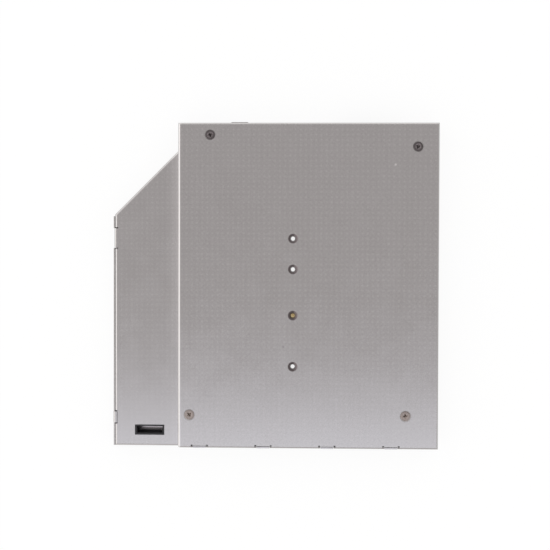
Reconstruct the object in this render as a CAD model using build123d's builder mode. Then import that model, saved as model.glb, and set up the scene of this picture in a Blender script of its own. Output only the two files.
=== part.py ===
from build123d import *
import os

# Caddy that carries an M.2 drive card in a laptop's slim drive bay, in millimetres.
# +X runs from the thin wing to the full-height side, +Y from the bezel end to the plug end,
# and +Z from the flat cover, on which the caddy rests, to the stepped case.
# The origin is at the middle of the bounding box, on the resting face.

# Overall sizes
overall_depth = 128.0
overall_height = 12.7
main_width = 101.8
wing_width = 26.2
wing_height = 8.6
corner_setback = 10.15

# Sheet metal
sheet = 0.6
sheet_gap = 0.1
bend_inside = 0.2
corner_slit = 0.3
relief_width = 0.45
relief_depth = 0.9

# Tabs, hook and tongue that join the two sheets
front_tab_count = 4
front_tab_pitch = 25.0
front_tab_first = 8.5
front_tab_width = 5.05
front_tab_gap = 0.1
front_tab_short = 0.15
front_notch_depth = 0.85
bend_relief_in = 0.3
bend_relief_width = 0.75
bend_relief_depth = 1.0
bend_relief_drop = 1.4
rear_tab_start = 20.6
rear_tab_width = 6.5
tongue_from_corner = 4.85
tongue_width = 7.6
tongue_reach = 0.3
tongue_root = 1.3
flange_edge_round = 0.28
tongue_foot = 2.0
hook_start = 9.1
hook_width = 4.4
hook_reach = 1.5
hook_gap = 0.2

# Bezel clip pocket in the wing, and the windows in the front wall
slot_width = 11.75
slot_depth = 4.1
slot_from_step = 5.8
slot_from_front = 4.3
pocket_width = 10.3
pocket_depth = 2.8
pocket_chamfer = 0.15
block_side = 1.5
block_back = 1.5
block_corner = 0.8
block_window_width = 6.0
collar_gap = 0.05
clip_window_width = 9.0
clip_window_height = 2.2
clip_window_z = 5.6

# Case screws, their pressed seats and their posts
screw_head_radius = 1.9
screw_radius = 0.95
screw_length = 6.0
screw_recess_radius = 1.05
screw_recess_depth = 0.8
screw_recess_slot = 0.45
recess_taper = 12
seat_radius = 2.05
seat_hole_radius = 1.1
seat_reach = 0.7
seat_clearance = 0.02
thread_gap = 0.05
post_radius = 2.2
post_foot_radius = 1.6
post_foot_gap = 0.05
rear_left_screw_in = (12.5, 4.7)
rear_right_screw_in = (8.3, 9.3)
front_left_screw_in = (4.5, 13.0)
front_right_screw_in = (12.75, 13.0)

# Threaded holes for the laptop's bracket, in the rear wall
bracket_hole_count = 2
bracket_hole_start = 4.0
bracket_hole_pitch = 12.0
bracket_hole_z = 6.0

# Drive card places
card_line_in = 56.8
card_edge_in = 15.15
card_lengths = (30.0, 42.0, 60.0, 80.0)
fitted_length = 60.0
card_width = 22.0
card_thickness = 0.8
card_drop = 2.45
burr_bore_radius = 0.85
burr_mouth_radius = 1.85
mouth_bevel = 0.3
burr_wall = 0.6
burr_reach = 1.1
standoff_flats = 3.6
standoff_sunk = 0.9
standoff_spare = 0.6
thread_chamfer = 0.2
card_screw_radius = 0.8
card_screw_length = 2.4
card_screw_head_radius = 1.75
card_screw_head_height = 0.9
card_screw_recess_depth = 0.5

# Window in the cover, under the card
window_side = 2.5
window_rear_reach = 4.0
window_front_reach = 8.0
window_corner = 2.0

# Board and film
board_thickness = 1.6
board_lift = 1.9
board_wall_gap = 0.5
board_depth = 17.0
board_left_in = 7.0
board_right_in = 3.5
board_corner = 1.0
film_thickness = 0.15
film_margin = 1.0
film_hole_gap = 0.4

# Plug at the rear wall
plug_post_gap = 3.5
plug_width = 24.8
plug_height = 4.4
plug_length = 10.0
plug_corner = 0.5
plug_mouth_width = 21.0
plug_mouth_height = 3.3
plug_mouth_depth = 5.6
plug_lip = 0.6
blade_thickness = 1.2
blade_key_drop = 0.5
signal_width = 9.8
power_width = 8.0
blade_space = 1.6
signal_count = 7
signal_pitch = 1.27
power_count = 6
power_pitch = 1.0
plug_wall_gap = 0.25
plug_contact_thickness = 0.15
plug_contact_width = 0.6
plug_contact_back = 0.3
plug_contact_foot = 0.9

# Card socket
socket_width = 22.0
socket_height = 4.2
socket_depth = 8.0
socket_reach = 2.2
socket_slot_width = 20.2
card_gap = 0.3
card_stop = 0.3
key_offset = 5.625
key_width = 1.0
key_length = 1.8
key_clear = 1.1
upper_contact_count = 38
lower_contact_count = 37
socket_pitch = 0.5
socket_contact_thickness = 0.12
socket_contact_width = 0.2
socket_contact_in = 1.1
socket_contact_foot = 0.8
upper_contact_back = 0.3
lower_contact_back = 1.3
lip_setback = 1.0

# Nails that hold the plug and the socket on the board
nail_thickness = 0.3
nail_depth = 3.0
nail_height = 2.0
nail_foot = 1.1

# Small parts: a column beside the socket and a row behind it, placed from the board's front edge
column_gap = 0.8
column_width = 6.5
regulator_size = (6.5, 3.5, 1.6)
regulator_in = 6.4
regulator_chamfer = 0.3
regulator_lead_count = 3
regulator_pitch = 2.3
regulator_lead_width = 0.75
regulator_tab_width = 3.0
lead_thickness = 0.25
lead_out = 0.7
lead_foot = 1.0
lead_height = 0.9
inductor_size = (4.0, 4.0, 2.0)
inductor_in = 12.2
inductor_chamfer = 0.7
groove_width = 0.25
tantalum_size = (3.5, 2.8, 1.9)
tantalum_from_socket = 4.0
tantalum_in = 14.6
tantalum_pitch = 4.6
tantalum_count = 2
ceramic_size = (1.6, 0.8, 0.8)
ceramic_from_tantalum = 4.0
ceramic_in = 13.6
ceramic_pitch = 2.1
ceramic_count = 6
resistor_size = (1.0, 0.5, 0.4)
resistor_in = 1.5
resistor_pitch = 1.6
resistor_count = 4
light_size = (1.6, 0.8, 0.6)
light_in = 15.6
chip_cap = 0.22
chip_cap_proud = 0.04

# Places worked out from the sizes above
tiny = 0.001
bend_outside = bend_inside + sheet
left, right = -(main_width + wing_width) / 2, (main_width + wing_width) / 2
front, rear = -overall_depth / 2, overall_depth / 2
step_x = right - main_width
case_left = left + sheet + sheet_gap
case_rear = rear - sheet - sheet_gap
case_foot = sheet + sheet_gap
plate_z = overall_height - sheet
wing_z = wing_height - sheet
cut_rear_y = case_rear - corner_setback
cut_front_y = cut_rear_y - (step_x - case_left)
flange_end = cut_rear_y - (step_x - left)
flange_top = wing_z - sheet_gap
tongue_front = flange_end - tongue_from_corner - tongue_width
main_middle = ((step_x + right) / 2, (front + case_rear) / 2)
slit_in = sheet + corner_slit / 2
main_slits = [(right - slit_in, front), (right - slit_in, case_rear), (step_x + slit_in, case_rear)]
wing_slits = [
    (case_left + slit_in, front, corner_slit, 2 * sheet),
    (step_x - corner_slit / 2, front, corner_slit, 2 * sheet),
    (case_left, cut_front_y - corner_slit / 2, 2 * sheet, corner_slit),
    (step_x, cut_rear_y + corner_slit / 2, 2 * sheet, corner_slit),
]
tongue_left = case_left - tongue_reach
relief_off = front_tab_width / 2 + front_tab_gap + bend_relief_width / 2
tab_middles = [step_x + front_tab_first + i * front_tab_pitch for i in range(front_tab_count)]
rear_tab_x = step_x + rear_tab_start + rear_tab_width / 2
bracket_holes = [step_x + bracket_hole_start + i * bracket_hole_pitch for i in range(bracket_hole_count)]

# Clip pocket places: the block stands against the front wall
slot_middle = (step_x - slot_from_step - slot_width / 2, front + slot_from_front + slot_depth / 2)
block_width = slot_width + 2 * block_side
block_front = front + sheet + bend_inside
block_rear = front + slot_from_front + slot_depth + block_back
block_middle = (slot_middle[0], (block_front + block_rear) / 2)

# Screw, post and card heights
seat_z = plate_z - seat_reach
burr_z = plate_z - burr_reach
screw_top = overall_height - (seat_radius - screw_head_radius) + seat_clearance
screw_tip = screw_top - screw_length
board_top = plate_z - board_lift
board_z = board_top - board_thickness
card_z = board_z - card_drop
rear_screws = [
    (step_x + rear_left_screw_in[0], case_rear - rear_left_screw_in[1]),
    (right - rear_right_screw_in[0], case_rear - rear_right_screw_in[1]),
]
front_screws = [
    (step_x + front_left_screw_in[0], front + front_left_screw_in[1]),
    (right - front_right_screw_in[0], front + front_right_screw_in[1]),
]
card_x = right - card_line_in
card_edge_y = case_rear - card_edge_in
card_holes = [(card_x, card_edge_y - length) for length in card_lengths]
fitted_hole = (card_x, card_edge_y - fitted_length)
window_rear = card_edge_y + window_rear_reach
window_front = card_edge_y - max(card_lengths) - window_front_reach

# Board, plug and socket places
board_rear = case_rear - sheet - board_wall_gap
board_front = board_rear - board_depth
board_left = step_x + board_left_in
board_right = right - board_right_in
plug_x = rear_screws[1][0] - post_radius - plug_post_gap - plug_width / 2
plug_back = case_rear - plug_length
mouth_z = board_z - plug_height / 2
mouth_back = case_rear - plug_mouth_depth
blades_left = plug_x - (signal_width + blade_space + power_width) / 2
blades_right = plug_x + (signal_width + blade_space + power_width) / 2
plug_rows = [
    (blades_left + signal_width / 2, signal_width, signal_count, signal_pitch, -1),
    (blades_right - power_width / 2, power_width, power_count, power_pitch, 1),
]
contacts_in = blade_thickness / 2
socket_front = card_edge_y - socket_reach
socket_back = socket_front + socket_depth
slot_top = card_z + card_gap
slot_bottom = card_z - card_thickness - card_gap
key_x = card_x - key_offset
column_x = card_x - socket_width / 2 - nail_foot - column_gap - column_width / 2
regulator_place = (column_x, board_front + regulator_in)
inductor_place = (column_x, board_front + inductor_in)
resistor_x = column_x - (resistor_count - 1) / 2 * resistor_pitch
tantalum_x = card_x - socket_width / 2 + tantalum_from_socket
ceramic_x = tantalum_x + (tantalum_count - 1) * tantalum_pitch + ceramic_from_tantalum
socket_row_width = (upper_contact_count - 1) * socket_pitch + socket_contact_width


# Places of one row of contacts, without those beside the key rib
def contact_row(count):
    places = [card_x + (i - (count - 1) / 2) * socket_pitch for i in range(count)]
    return [x for x in places if abs(x - key_x) > key_clear]


# Path of a contact in Y and Z: along a wall, out of the back, up to the board and along it
def contact_path(tip_y, inner_z, back_y, foot, thickness):
    solder_z = board_z - thickness / 2
    return [(tip_y, inner_z), (back_y, inner_z), (back_y, solder_z), (back_y + foot, solder_z)]


# Strip of one thickness along a path in Y and Z, centred on X
def strip(path, thickness, width):
    with BuildPart() as bent:
        with BuildSketch(Plane.YZ):
            with BuildLine():
                Polyline(*path)
            trace(line_width=thickness)
        extrude(amount=width / 2, both=True)
    return bent.part


# Body turned about a vertical axis, from points of radius and height
def turned(*points):
    with BuildPart() as shape:
        with BuildSketch(Plane.XZ):
            with BuildLine():
                Polyline(*points, close=True)
            make_face()
        revolve(axis=Axis.Z)
    return shape.part


# Cross recess of a screw head, sunk from the plane z = 0
def cross_recess(radius, slot, depth):
    with BuildPart() as recess:
        with BuildSketch():
            Rectangle(2 * radius, slot)
            Rectangle(slot, 2 * radius)
        extrude(amount=-depth, taper=recess_taper)
    return recess.part


# Threaded post with a foot that is clinched in the cover
def post_body(top_z):
    with BuildPart() as post:
        with BuildSketch(Plane.XY.offset(sheet)):
            Circle(post_radius)
        extrude(amount=top_z - sheet)
        with BuildSketch():
            Circle(post_foot_radius)
        extrude(amount=sheet)
        with BuildSketch(Plane.XY.offset(screw_tip - thread_gap)):
            Circle(screw_radius + thread_gap)
        extrude(amount=top_z - screw_tip + thread_gap, mode=Mode.SUBTRACT)
    return post.part


# Two L-shaped nails, one at each end of a connector
def board_nails(middle_x, half_width, middle_y):
    with BuildPart() as nails:
        for side in (-1, 1):
            with BuildSketch(Plane.XZ.offset(-middle_y)):
                end_x = middle_x + side * half_width
                with Locations((end_x + side * nail_thickness / 2, board_z - nail_height / 2)):
                    Rectangle(nail_thickness, nail_height)
                with Locations((end_x + side * nail_foot / 2, board_z - nail_thickness / 2)):
                    Rectangle(nail_foot, nail_thickness)
            extrude(amount=nail_depth / 2, both=True)
    return nails.part


# Row of places on the board's lower face, from its first place
def chip_row(x, y, pitch, count):
    return [(x + i * pitch, y, board_z) for i in range(count)]


# Chip under the board, with two slightly larger end caps
def chip(size):
    length, width, height = size
    with BuildPart() as body:
        Box(length, width - chip_cap_proud, height - chip_cap_proud,
            align=(Align.CENTER, Align.CENTER, Align.MAX))
        with Locations((-length / 2, 0, 0), (length / 2 - length * chip_cap, 0, 0)):
            Box(length * chip_cap, width, height, align=(Align.MIN, Align.CENTER, Align.MAX))
    return body.part


# Lead of the regulator, out of its side and down on the board
def regulator_lead_path(side):
    edge_y = regulator_place[1] + side * regulator_size[1] / 2
    bend_y = edge_y + side * lead_out
    solder_z = board_z - lead_thickness / 2
    return [(edge_y, board_z - lead_height), (bend_y, board_z - lead_height), (bend_y, solder_z),
            (bend_y + side * lead_foot, solder_z)]


# Burr of a card hole: a short tube under the plate, with a drawn-in mouth above
burr_body = turned((0, burr_z), (burr_bore_radius + burr_wall, burr_z),
                   (burr_bore_radius + burr_wall, plate_z + sheet / 2), (0, plate_z + sheet / 2))
throat_z = overall_height - (burr_mouth_radius - burr_bore_radius)
burr_bore = turned((0, burr_z - sheet), (burr_bore_radius, burr_z - sheet), (burr_bore_radius, throat_z),
                   (burr_bore_radius + mouth_bevel, overall_height - mouth_bevel),
                   (burr_mouth_radius, overall_height), (burr_mouth_radius, overall_height + sheet),
                   (0, overall_height + sheet))

# Contacts: the plug's lie under its blades, the socket's above and below the card
plug_contact_path = contact_path(
    case_rear - plug_lip - plug_contact_thickness, mouth_z - (blade_thickness + plug_contact_thickness) / 2,
    plug_back - plug_contact_back, -plug_contact_foot, plug_contact_thickness)
upper_contact_path = contact_path(
    socket_front + socket_contact_in, slot_top - socket_contact_thickness / 2,
    socket_back + upper_contact_back, socket_contact_foot, socket_contact_thickness)
lower_contact_path = contact_path(
    socket_front + socket_contact_in, slot_bottom + socket_contact_thickness / 2,
    socket_back + lower_contact_back, socket_contact_foot, socket_contact_thickness)

# Seat of a case screw: the plate pressed down into a cone
seat_body = turned((0, seat_z), (seat_radius, seat_z), (seat_radius + seat_reach, plate_z),
                   (seat_radius + seat_reach, plate_z + sheet / 2), (0, plate_z + sheet / 2))
seat_cone_z = overall_height - (seat_radius - seat_hole_radius)
seat_hole = turned((0, seat_z - sheet), (seat_hole_radius, seat_z - sheet), (seat_hole_radius, seat_cone_z),
                   (seat_radius, overall_height), (seat_radius, overall_height + sheet),
                   (0, overall_height + sheet))
flat_screw = turned((0, screw_tip), (screw_radius, screw_tip),
                    (screw_radius, screw_top - (screw_head_radius - screw_radius)),
                    (screw_head_radius, screw_top), (0, screw_top))

os.makedirs("parts", exist_ok=True)

# Stepped case: a pan of one thickness, open towards the cover
with BuildPart() as stepped_case:
    with BuildSketch(Plane.XY.offset(case_foot)):
        with BuildLine():
            Polyline((case_left, front), (right, front), (right, case_rear), (step_x, case_rear),
                     (step_x, cut_rear_y), (case_left, cut_front_y), close=True)
        make_face()
    extrude(amount=wing_height - case_foot)
    with BuildSketch(Plane.XY.offset(wing_height)):
        with Locations(main_middle):
            Rectangle(main_width, case_rear - front)
    extrude(amount=overall_height - wing_height)
    fillet(stepped_case.edges().filter_by(Axis.Y).filter_by_position(Axis.Z, wing_height, wing_height)
           .sort_by(Axis.X)[-1], bend_inside)
    fillet(stepped_case.faces().filter_by(Axis.Z).sort_by(Axis.X)[0].edges()
           .filter_by_position(Axis.Z, wing_height, wing_height), bend_outside)
    fillet(stepped_case.faces().sort_by(Axis.Z)[-1].edges(), bend_outside)
    offset(amount=-sheet, openings=stepped_case.faces().sort_by(Axis.Z)[0])
    # Slits that leave the walls apart at the corners
    for x, y in main_slits:
        with Locations((x, y, case_foot)):
            Box(corner_slit, 2 * sheet, overall_height - bend_outside - case_foot,
                align=(Align.CENTER, Align.CENTER, Align.MIN), mode=Mode.SUBTRACT)
    for x, y, wide, deep in wing_slits:
        with Locations((x, y, case_foot)):
            Box(wide, deep, wing_height - bend_outside - case_foot,
                align=(Align.CENTER, Align.CENTER, Align.MIN), mode=Mode.SUBTRACT)
    # Notches in the front wall, where the cover's tabs stand, with reliefs at their ends in the bend
    with Locations(*[(x, front, 0) for x in tab_middles]):
        Box(front_tab_width + 2 * front_tab_gap, front_notch_depth, overall_height,
            align=(Align.CENTER, Align.MIN, Align.MIN), mode=Mode.SUBTRACT)
    for side in (-1, 1):
        with Locations(*[(x + side * relief_off, front + bend_relief_in, overall_height)
                         for x in tab_middles]):
            Box(bend_relief_width, bend_relief_depth, bend_relief_drop,
                align=(Align.CENTER, Align.MIN, Align.MAX), mode=Mode.SUBTRACT)
    # Windows that a bezel's clips snap into
    with Locations(*[(x + front_tab_pitch / 2, front, clip_window_z) for x in tab_middles[:-1]]):
        Box(clip_window_width, 3 * sheet, clip_window_height, mode=Mode.SUBTRACT)
    with Locations((slot_middle[0], front, clip_window_z)):
        Box(block_window_width, 3 * sheet, clip_window_height, mode=Mode.SUBTRACT)
    # Slot in the wing over the bezel clip block
    with BuildSketch(Plane.XY.offset(wing_z)):
        with Locations(slot_middle):
            Rectangle(slot_width, slot_depth)
    extrude(amount=sheet, mode=Mode.SUBTRACT)
    # Opening for the plug in the rear wall
    with Locations((plug_x, case_rear, case_foot)):
        Box(plug_width + 2 * plug_wall_gap, 3 * sheet, board_z + plug_wall_gap - case_foot,
            align=(Align.CENTER, Align.CENTER, Align.MIN), mode=Mode.SUBTRACT)
    # Tongue that stands out into a notch of the cover's flange, and the place of the cover's hook
    with Locations((case_left, tongue_front - relief_width, 0)):
        Box(tongue_root, tongue_width + 2 * relief_width, wing_height, align=Align.MIN, mode=Mode.SUBTRACT)
    with Locations((tongue_left, tongue_front, wing_z)):
        Box(tongue_root + tongue_reach, tongue_width, sheet, align=Align.MIN)
    with Locations((tongue_left, tongue_front, tongue_foot)):
        Box(sheet, tongue_width, wing_height - tongue_foot, align=Align.MIN)
    fillet(stepped_case.edges().filter_by(Axis.Y).filter_by_position(Axis.Z, wing_height, wing_height)
           .sort_by(Axis.X)[0], bend_outside)
    with Locations((case_left, front + hook_start - relief_width, 0)):
        Box(left + hook_reach + hook_gap - case_left, hook_width + 2 * relief_width, wing_height,
            align=Align.MIN, mode=Mode.SUBTRACT)
    # Burrs drawn inwards at the card holes, and pressed seats at the screws
    with Locations(*card_holes):
        add(burr_body)
        add(burr_bore, mode=Mode.SUBTRACT)
    with Locations(*rear_screws, *front_screws):
        add(seat_body)
        add(seat_hole, mode=Mode.SUBTRACT)
    # Threaded holes for the laptop's bracket
    with BuildSketch(Plane.XZ.offset(-case_rear)):
        with Locations(*[(x, bracket_hole_z) for x in bracket_holes]):
            Circle(burr_bore_radius + burr_wall)
    extrude(amount=burr_reach + sheet)
    with BuildSketch(Plane.XZ.offset(-case_rear)):
        with Locations(*[(x, bracket_hole_z) for x in bracket_holes]):
            Circle(burr_bore_radius)
    extrude(amount=burr_reach + sheet, mode=Mode.SUBTRACT)
stepped_case.part.label = "stepped_case"
export_step(stepped_case.part, "parts/stepped_case.step")

# Flat cover: a full-width plate whose flange, tabs and hook hold the case
with BuildPart() as flat_cover:
    with BuildSketch():
        with BuildLine():
            Polyline((left, front), (right, front), (right, case_rear), (step_x, case_rear),
                     (step_x, cut_rear_y), (left, cut_rear_y - (step_x - left)), close=True)
        make_face()
    extrude(amount=sheet)
    with Locations((left, front, 0)):
        Box(sheet, flange_end - front, flange_top, align=Align.MIN)
    fillet(flat_cover.edges().filter_by(Axis.Y).filter_by_position(Axis.Z, flange_top, flange_top),
           flange_edge_round)
    with Locations((left, tongue_front - sheet_gap, tongue_foot - sheet_gap)):
        Box(sheet, tongue_width + 2 * sheet_gap, wing_height, align=Align.MIN, mode=Mode.SUBTRACT)
    with Locations((left, front + hook_start, 0)):
        Box(sheet, hook_width, wing_height, align=Align.MIN)
    with Locations((left, front + hook_start, wing_z)):
        Box(hook_reach, hook_width, sheet, align=Align.MIN)
    with Locations(*[(x, front, 0) for x in tab_middles]):
        Box(front_tab_width, sheet, overall_height - front_tab_short,
            align=(Align.CENTER, Align.MIN, Align.MIN))
    with Locations((rear_tab_x, rear, 0)):
        Box(rear_tab_width, rear - case_rear, sheet, align=(Align.CENTER, Align.MAX, Align.MIN))
        Box(rear_tab_width, sheet, wing_height, align=(Align.CENTER, Align.MAX, Align.MIN))
    # Reliefs at the flange's end and on both sides of each tab
    with Locations((left, flange_end, 0)):
        Box(relief_depth, relief_depth, sheet, align=Align.MIN, mode=Mode.SUBTRACT)
    for x in tab_middles:
        for side in (-1, 1):
            with Locations((x + side * (front_tab_width + relief_width) / 2, front, 0)):
                Box(relief_width, relief_depth, sheet,
                    align=(Align.CENTER, Align.MIN, Align.MIN), mode=Mode.SUBTRACT)
    for side in (-1, 1):
        with Locations((rear_tab_x + side * (rear_tab_width + relief_width) / 2, case_rear, 0)):
            Box(relief_width, relief_depth, sheet,
                align=(Align.CENTER, Align.MAX, Align.MIN), mode=Mode.SUBTRACT)
    # Bends
    foot_edges = flat_cover.edges().filter_by_position(Axis.Z, 0, 0)
    fillet(foot_edges.filter_by(Axis.Y).sort_by(Axis.X)[0], bend_outside)
    fillet(flat_cover.edges().filter_by(Axis.Y).filter_by_position(Axis.Z, wing_height, wing_height)
           .sort_by(Axis.X)[0], bend_outside)
    tab_edges = flat_cover.edges().filter_by(Axis.X).filter_by_position(Axis.Z, 0, 0).sort_by(Axis.Y)
    fillet([edge for edge in tab_edges if abs(edge.length - front_tab_width) < tiny
            and edge.center().Y < front + tiny], bend_outside)
    fillet(tab_edges[-1], bend_outside)
    # Window under the card, and holes for the posts' feet
    with BuildSketch():
        with Locations((card_x, (window_front + window_rear) / 2)):
            RectangleRounded(card_width + 2 * window_side, window_rear - window_front, window_corner)
    extrude(amount=sheet, mode=Mode.SUBTRACT)
    with Locations(*rear_screws, *front_screws):
        Cylinder(post_foot_radius + post_foot_gap, 2 * sheet, mode=Mode.SUBTRACT)
flat_cover.part.label = "flat_cover"
export_step(flat_cover.part, "parts/flat_cover.step")

# Bezel clip block: a moulded pocket whose collar fills the wing's slot
with BuildPart() as bezel_clip_block:
    with BuildSketch(Plane.XY.offset(sheet)):
        with Locations(block_middle):
            RectangleRounded(block_width, block_rear - block_front, block_corner)
    extrude(amount=wing_z - sheet)
    with BuildSketch(Plane.XY.offset(wing_z)):
        with Locations(slot_middle):
            Rectangle(slot_width - 2 * collar_gap, slot_depth - 2 * collar_gap)
    extrude(amount=sheet)
    with BuildSketch(Plane.XY.offset(sheet)):
        with Locations(slot_middle):
            Rectangle(pocket_width, pocket_depth)
    extrude(amount=wing_z, mode=Mode.SUBTRACT)
    with Locations((slot_middle[0], front + sheet, clip_window_z)):
        Box(block_window_width, slot_from_front, clip_window_height,
            align=(Align.CENTER, Align.MIN, Align.CENTER), mode=Mode.SUBTRACT)
    chamfer(bezel_clip_block.faces().sort_by(Axis.Z)[-1].inner_wires()[0].edges(), pocket_chamfer)
bezel_clip_block.part.label = "bezel_clip_block"
export_step(bezel_clip_block.part, "parts/bezel_clip_block.step")

# Case screws, one group of four
with BuildPart() as case_screws:
    with Locations(*rear_screws, *front_screws):
        add(flat_screw)
    with Locations(*[(x, y, screw_top) for x, y in rear_screws + front_screws]):
        add(cross_recess(screw_recess_radius, screw_recess_slot, screw_recess_depth), mode=Mode.SUBTRACT)
case_screws.part.label = "case_screws"
export_step(case_screws.part, "parts/case_screws.step")

# Front posts, from the cover up to the pressed seats
with BuildPart() as front_posts:
    with Locations(*front_screws):
        add(post_body(seat_z))
front_posts.part.label = "front_posts"
export_step(front_posts.part, "parts/front_posts.step")

# Rear posts, from the cover up to the board
with BuildPart() as rear_posts:
    with Locations(*rear_screws):
        add(post_body(board_z))
rear_posts.part.label = "rear_posts"
export_step(rear_posts.part, "parts/rear_posts.step")

# Board spacers, from the board up to the pressed seats
with BuildPart() as board_spacers:
    with BuildSketch(Plane.XY.offset(board_top)):
        with Locations(*rear_screws):
            Circle(post_radius)
            Circle(seat_hole_radius, mode=Mode.SUBTRACT)
    extrude(amount=seat_z - board_top)
board_spacers.part.label = "board_spacers"
export_step(board_spacers.part, "parts/board_spacers.step")

# Adapter board
with BuildPart() as adapter_board:
    with BuildSketch(Plane.XY.offset(board_z)):
        with Locations(((board_left + board_right) / 2, (board_front + board_rear) / 2)):
            RectangleRounded(board_right - board_left, board_depth, board_corner)
        with Locations(*rear_screws):
            Circle(seat_hole_radius, mode=Mode.SUBTRACT)
    extrude(amount=board_thickness)
adapter_board.part.label = "adapter_board"
export_step(adapter_board.part, "parts/adapter_board.step")

# Insulation film on the inner face of the case, over the board
with BuildPart() as insulation_film:
    with BuildSketch(Plane.XY.offset(plate_z - film_thickness)):
        with Locations(((board_left + board_right) / 2, (board_front + board_rear) / 2)):
            Rectangle(board_right - board_left - 2 * film_margin, board_depth - 2 * film_margin)
        with Locations(*rear_screws):
            Circle(seat_radius + seat_reach + film_hole_gap, mode=Mode.SUBTRACT)
    extrude(amount=film_thickness)
insulation_film.part.label = "insulation_film"
export_step(insulation_film.part, "parts/insulation_film.step")

# Plug body at the rear wall, with two keyed tongues in its mouth
with BuildPart() as drive_plug_body:
    with Locations((plug_x, case_rear, board_z)):
        Box(plug_width, plug_length, plug_height, align=(Align.CENTER, Align.MAX, Align.MAX))
    with Locations((plug_x, case_rear, mouth_z)):
        Box(plug_mouth_width, plug_mouth_depth, plug_mouth_height,
            align=(Align.CENTER, Align.MAX, Align.CENTER), mode=Mode.SUBTRACT)
    for x, wide, count, pitch, side in plug_rows:
        with Locations((x, mouth_back, mouth_z)):
            Box(wide, plug_mouth_depth - plug_lip, blade_thickness,
                align=(Align.CENTER, Align.MIN, Align.CENTER))
        with Locations((x + side * (wide - blade_thickness) / 2, mouth_back, mouth_z)):
            Box(blade_thickness, plug_mouth_depth - plug_lip, blade_key_drop + blade_thickness / 2,
                align=(Align.CENTER, Align.MIN, Align.MAX))
        with Locations((x - side * contacts_in, mouth_back, mouth_z - blade_thickness / 2)):
            Box((count - 1) * pitch + plug_contact_width, plug_length - plug_mouth_depth,
                plug_contact_thickness, align=(Align.CENTER, Align.MAX, Align.MAX), mode=Mode.SUBTRACT)
    fillet(drive_plug_body.faces().sort_by(Axis.Z)[0].edges().filter_by(Axis.Y), plug_corner)
drive_plug_body.part.label = "drive_plug_body"
export_step(drive_plug_body.part, "parts/drive_plug_body.step")

# Plug contacts: each lies on its tongue, passes the body and ends on the board
with BuildPart() as drive_plug_contacts:
    for x, wide, count, pitch, side in plug_rows:
        first = x - side * contacts_in - (count - 1) / 2 * pitch
        with Locations(*[(first + i * pitch, 0, 0) for i in range(count)]):
            add(strip(plug_contact_path, plug_contact_thickness, plug_contact_width))
drive_plug_contacts.part.label = "drive_plug_contacts"
export_step(drive_plug_contacts.part, "parts/drive_plug_contacts.step")

# Plug nails, soldered to the board beside the body
with BuildPart() as drive_plug_nails:
    add(board_nails(plug_x, plug_width / 2, case_rear - plug_mouth_depth))
drive_plug_nails.part.label = "drive_plug_nails"
export_step(drive_plug_nails.part, "parts/drive_plug_nails.step")

# Card socket body, with the key rib in its slot and a shorter outer jaw
with BuildPart() as card_socket_body:
    with Locations((card_x, socket_front, board_z)):
        Box(socket_width, socket_depth, socket_height, align=(Align.CENTER, Align.MIN, Align.MAX))
    with Locations((card_x, socket_front, slot_bottom)):
        Box(socket_slot_width, socket_reach + card_stop, slot_top - slot_bottom,
            align=(Align.CENTER, Align.MIN, Align.MIN), mode=Mode.SUBTRACT)
        Box(socket_slot_width, lip_setback, socket_height, align=(Align.CENTER, Align.MIN, Align.MAX),
            mode=Mode.SUBTRACT)
    with Locations((key_x, card_edge_y + card_stop, slot_bottom)):
        Box(key_width, key_length, slot_top - slot_bottom, align=(Align.CENTER, Align.MAX, Align.MIN))
    with Locations((card_x, card_edge_y, slot_top),
                   (card_x, card_edge_y, slot_bottom + socket_contact_thickness)):
        Box(socket_row_width, socket_depth, socket_contact_thickness,
            align=(Align.CENTER, Align.MIN, Align.MAX), mode=Mode.SUBTRACT)
card_socket_body.part.label = "card_socket_body"
export_step(card_socket_body.part, "parts/card_socket_body.step")

# Card socket contacts: two rows, half a pitch apart, without the places at the key
with BuildPart() as card_socket_contacts:
    with Locations(*[(x, 0, 0) for x in contact_row(upper_contact_count)]):
        add(strip(upper_contact_path, socket_contact_thickness, socket_contact_width))
    with Locations(*[(x, 0, 0) for x in contact_row(lower_contact_count)]):
        add(strip(lower_contact_path, socket_contact_thickness, socket_contact_width))
card_socket_contacts.part.label = "card_socket_contacts"
export_step(card_socket_contacts.part, "parts/card_socket_contacts.step")

# Card socket nails
with BuildPart() as card_socket_nails:
    add(board_nails(card_x, socket_width / 2, card_edge_y + nail_depth / 2))
card_socket_nails.part.label = "card_socket_nails"
export_step(card_socket_nails.part, "parts/card_socket_nails.step")

# Brass standoff in the third card hole
with BuildPart() as card_standoff:
    with BuildSketch(Plane.XY.offset(card_z)):
        with Locations(fitted_hole):
            RegularPolygon(standoff_flats / 2, 6, major_radius=False)
    extrude(amount=burr_z - card_z)
    with BuildSketch(Plane.XY.offset(burr_z)):
        with Locations(fitted_hole):
            Circle(burr_bore_radius - thread_gap)
    extrude(amount=overall_height - standoff_sunk - burr_z)
    with BuildSketch(Plane.XY.offset(card_z)):
        with Locations(fitted_hole):
            Circle(card_screw_radius + thread_gap)
    extrude(amount=card_screw_length + standoff_spare, mode=Mode.SUBTRACT)
    chamfer(card_standoff.faces().sort_by(Axis.Z)[-1].edges(), thread_chamfer)
card_standoff.part.label = "card_standoff"
export_step(card_standoff.part, "parts/card_standoff.step")

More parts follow.
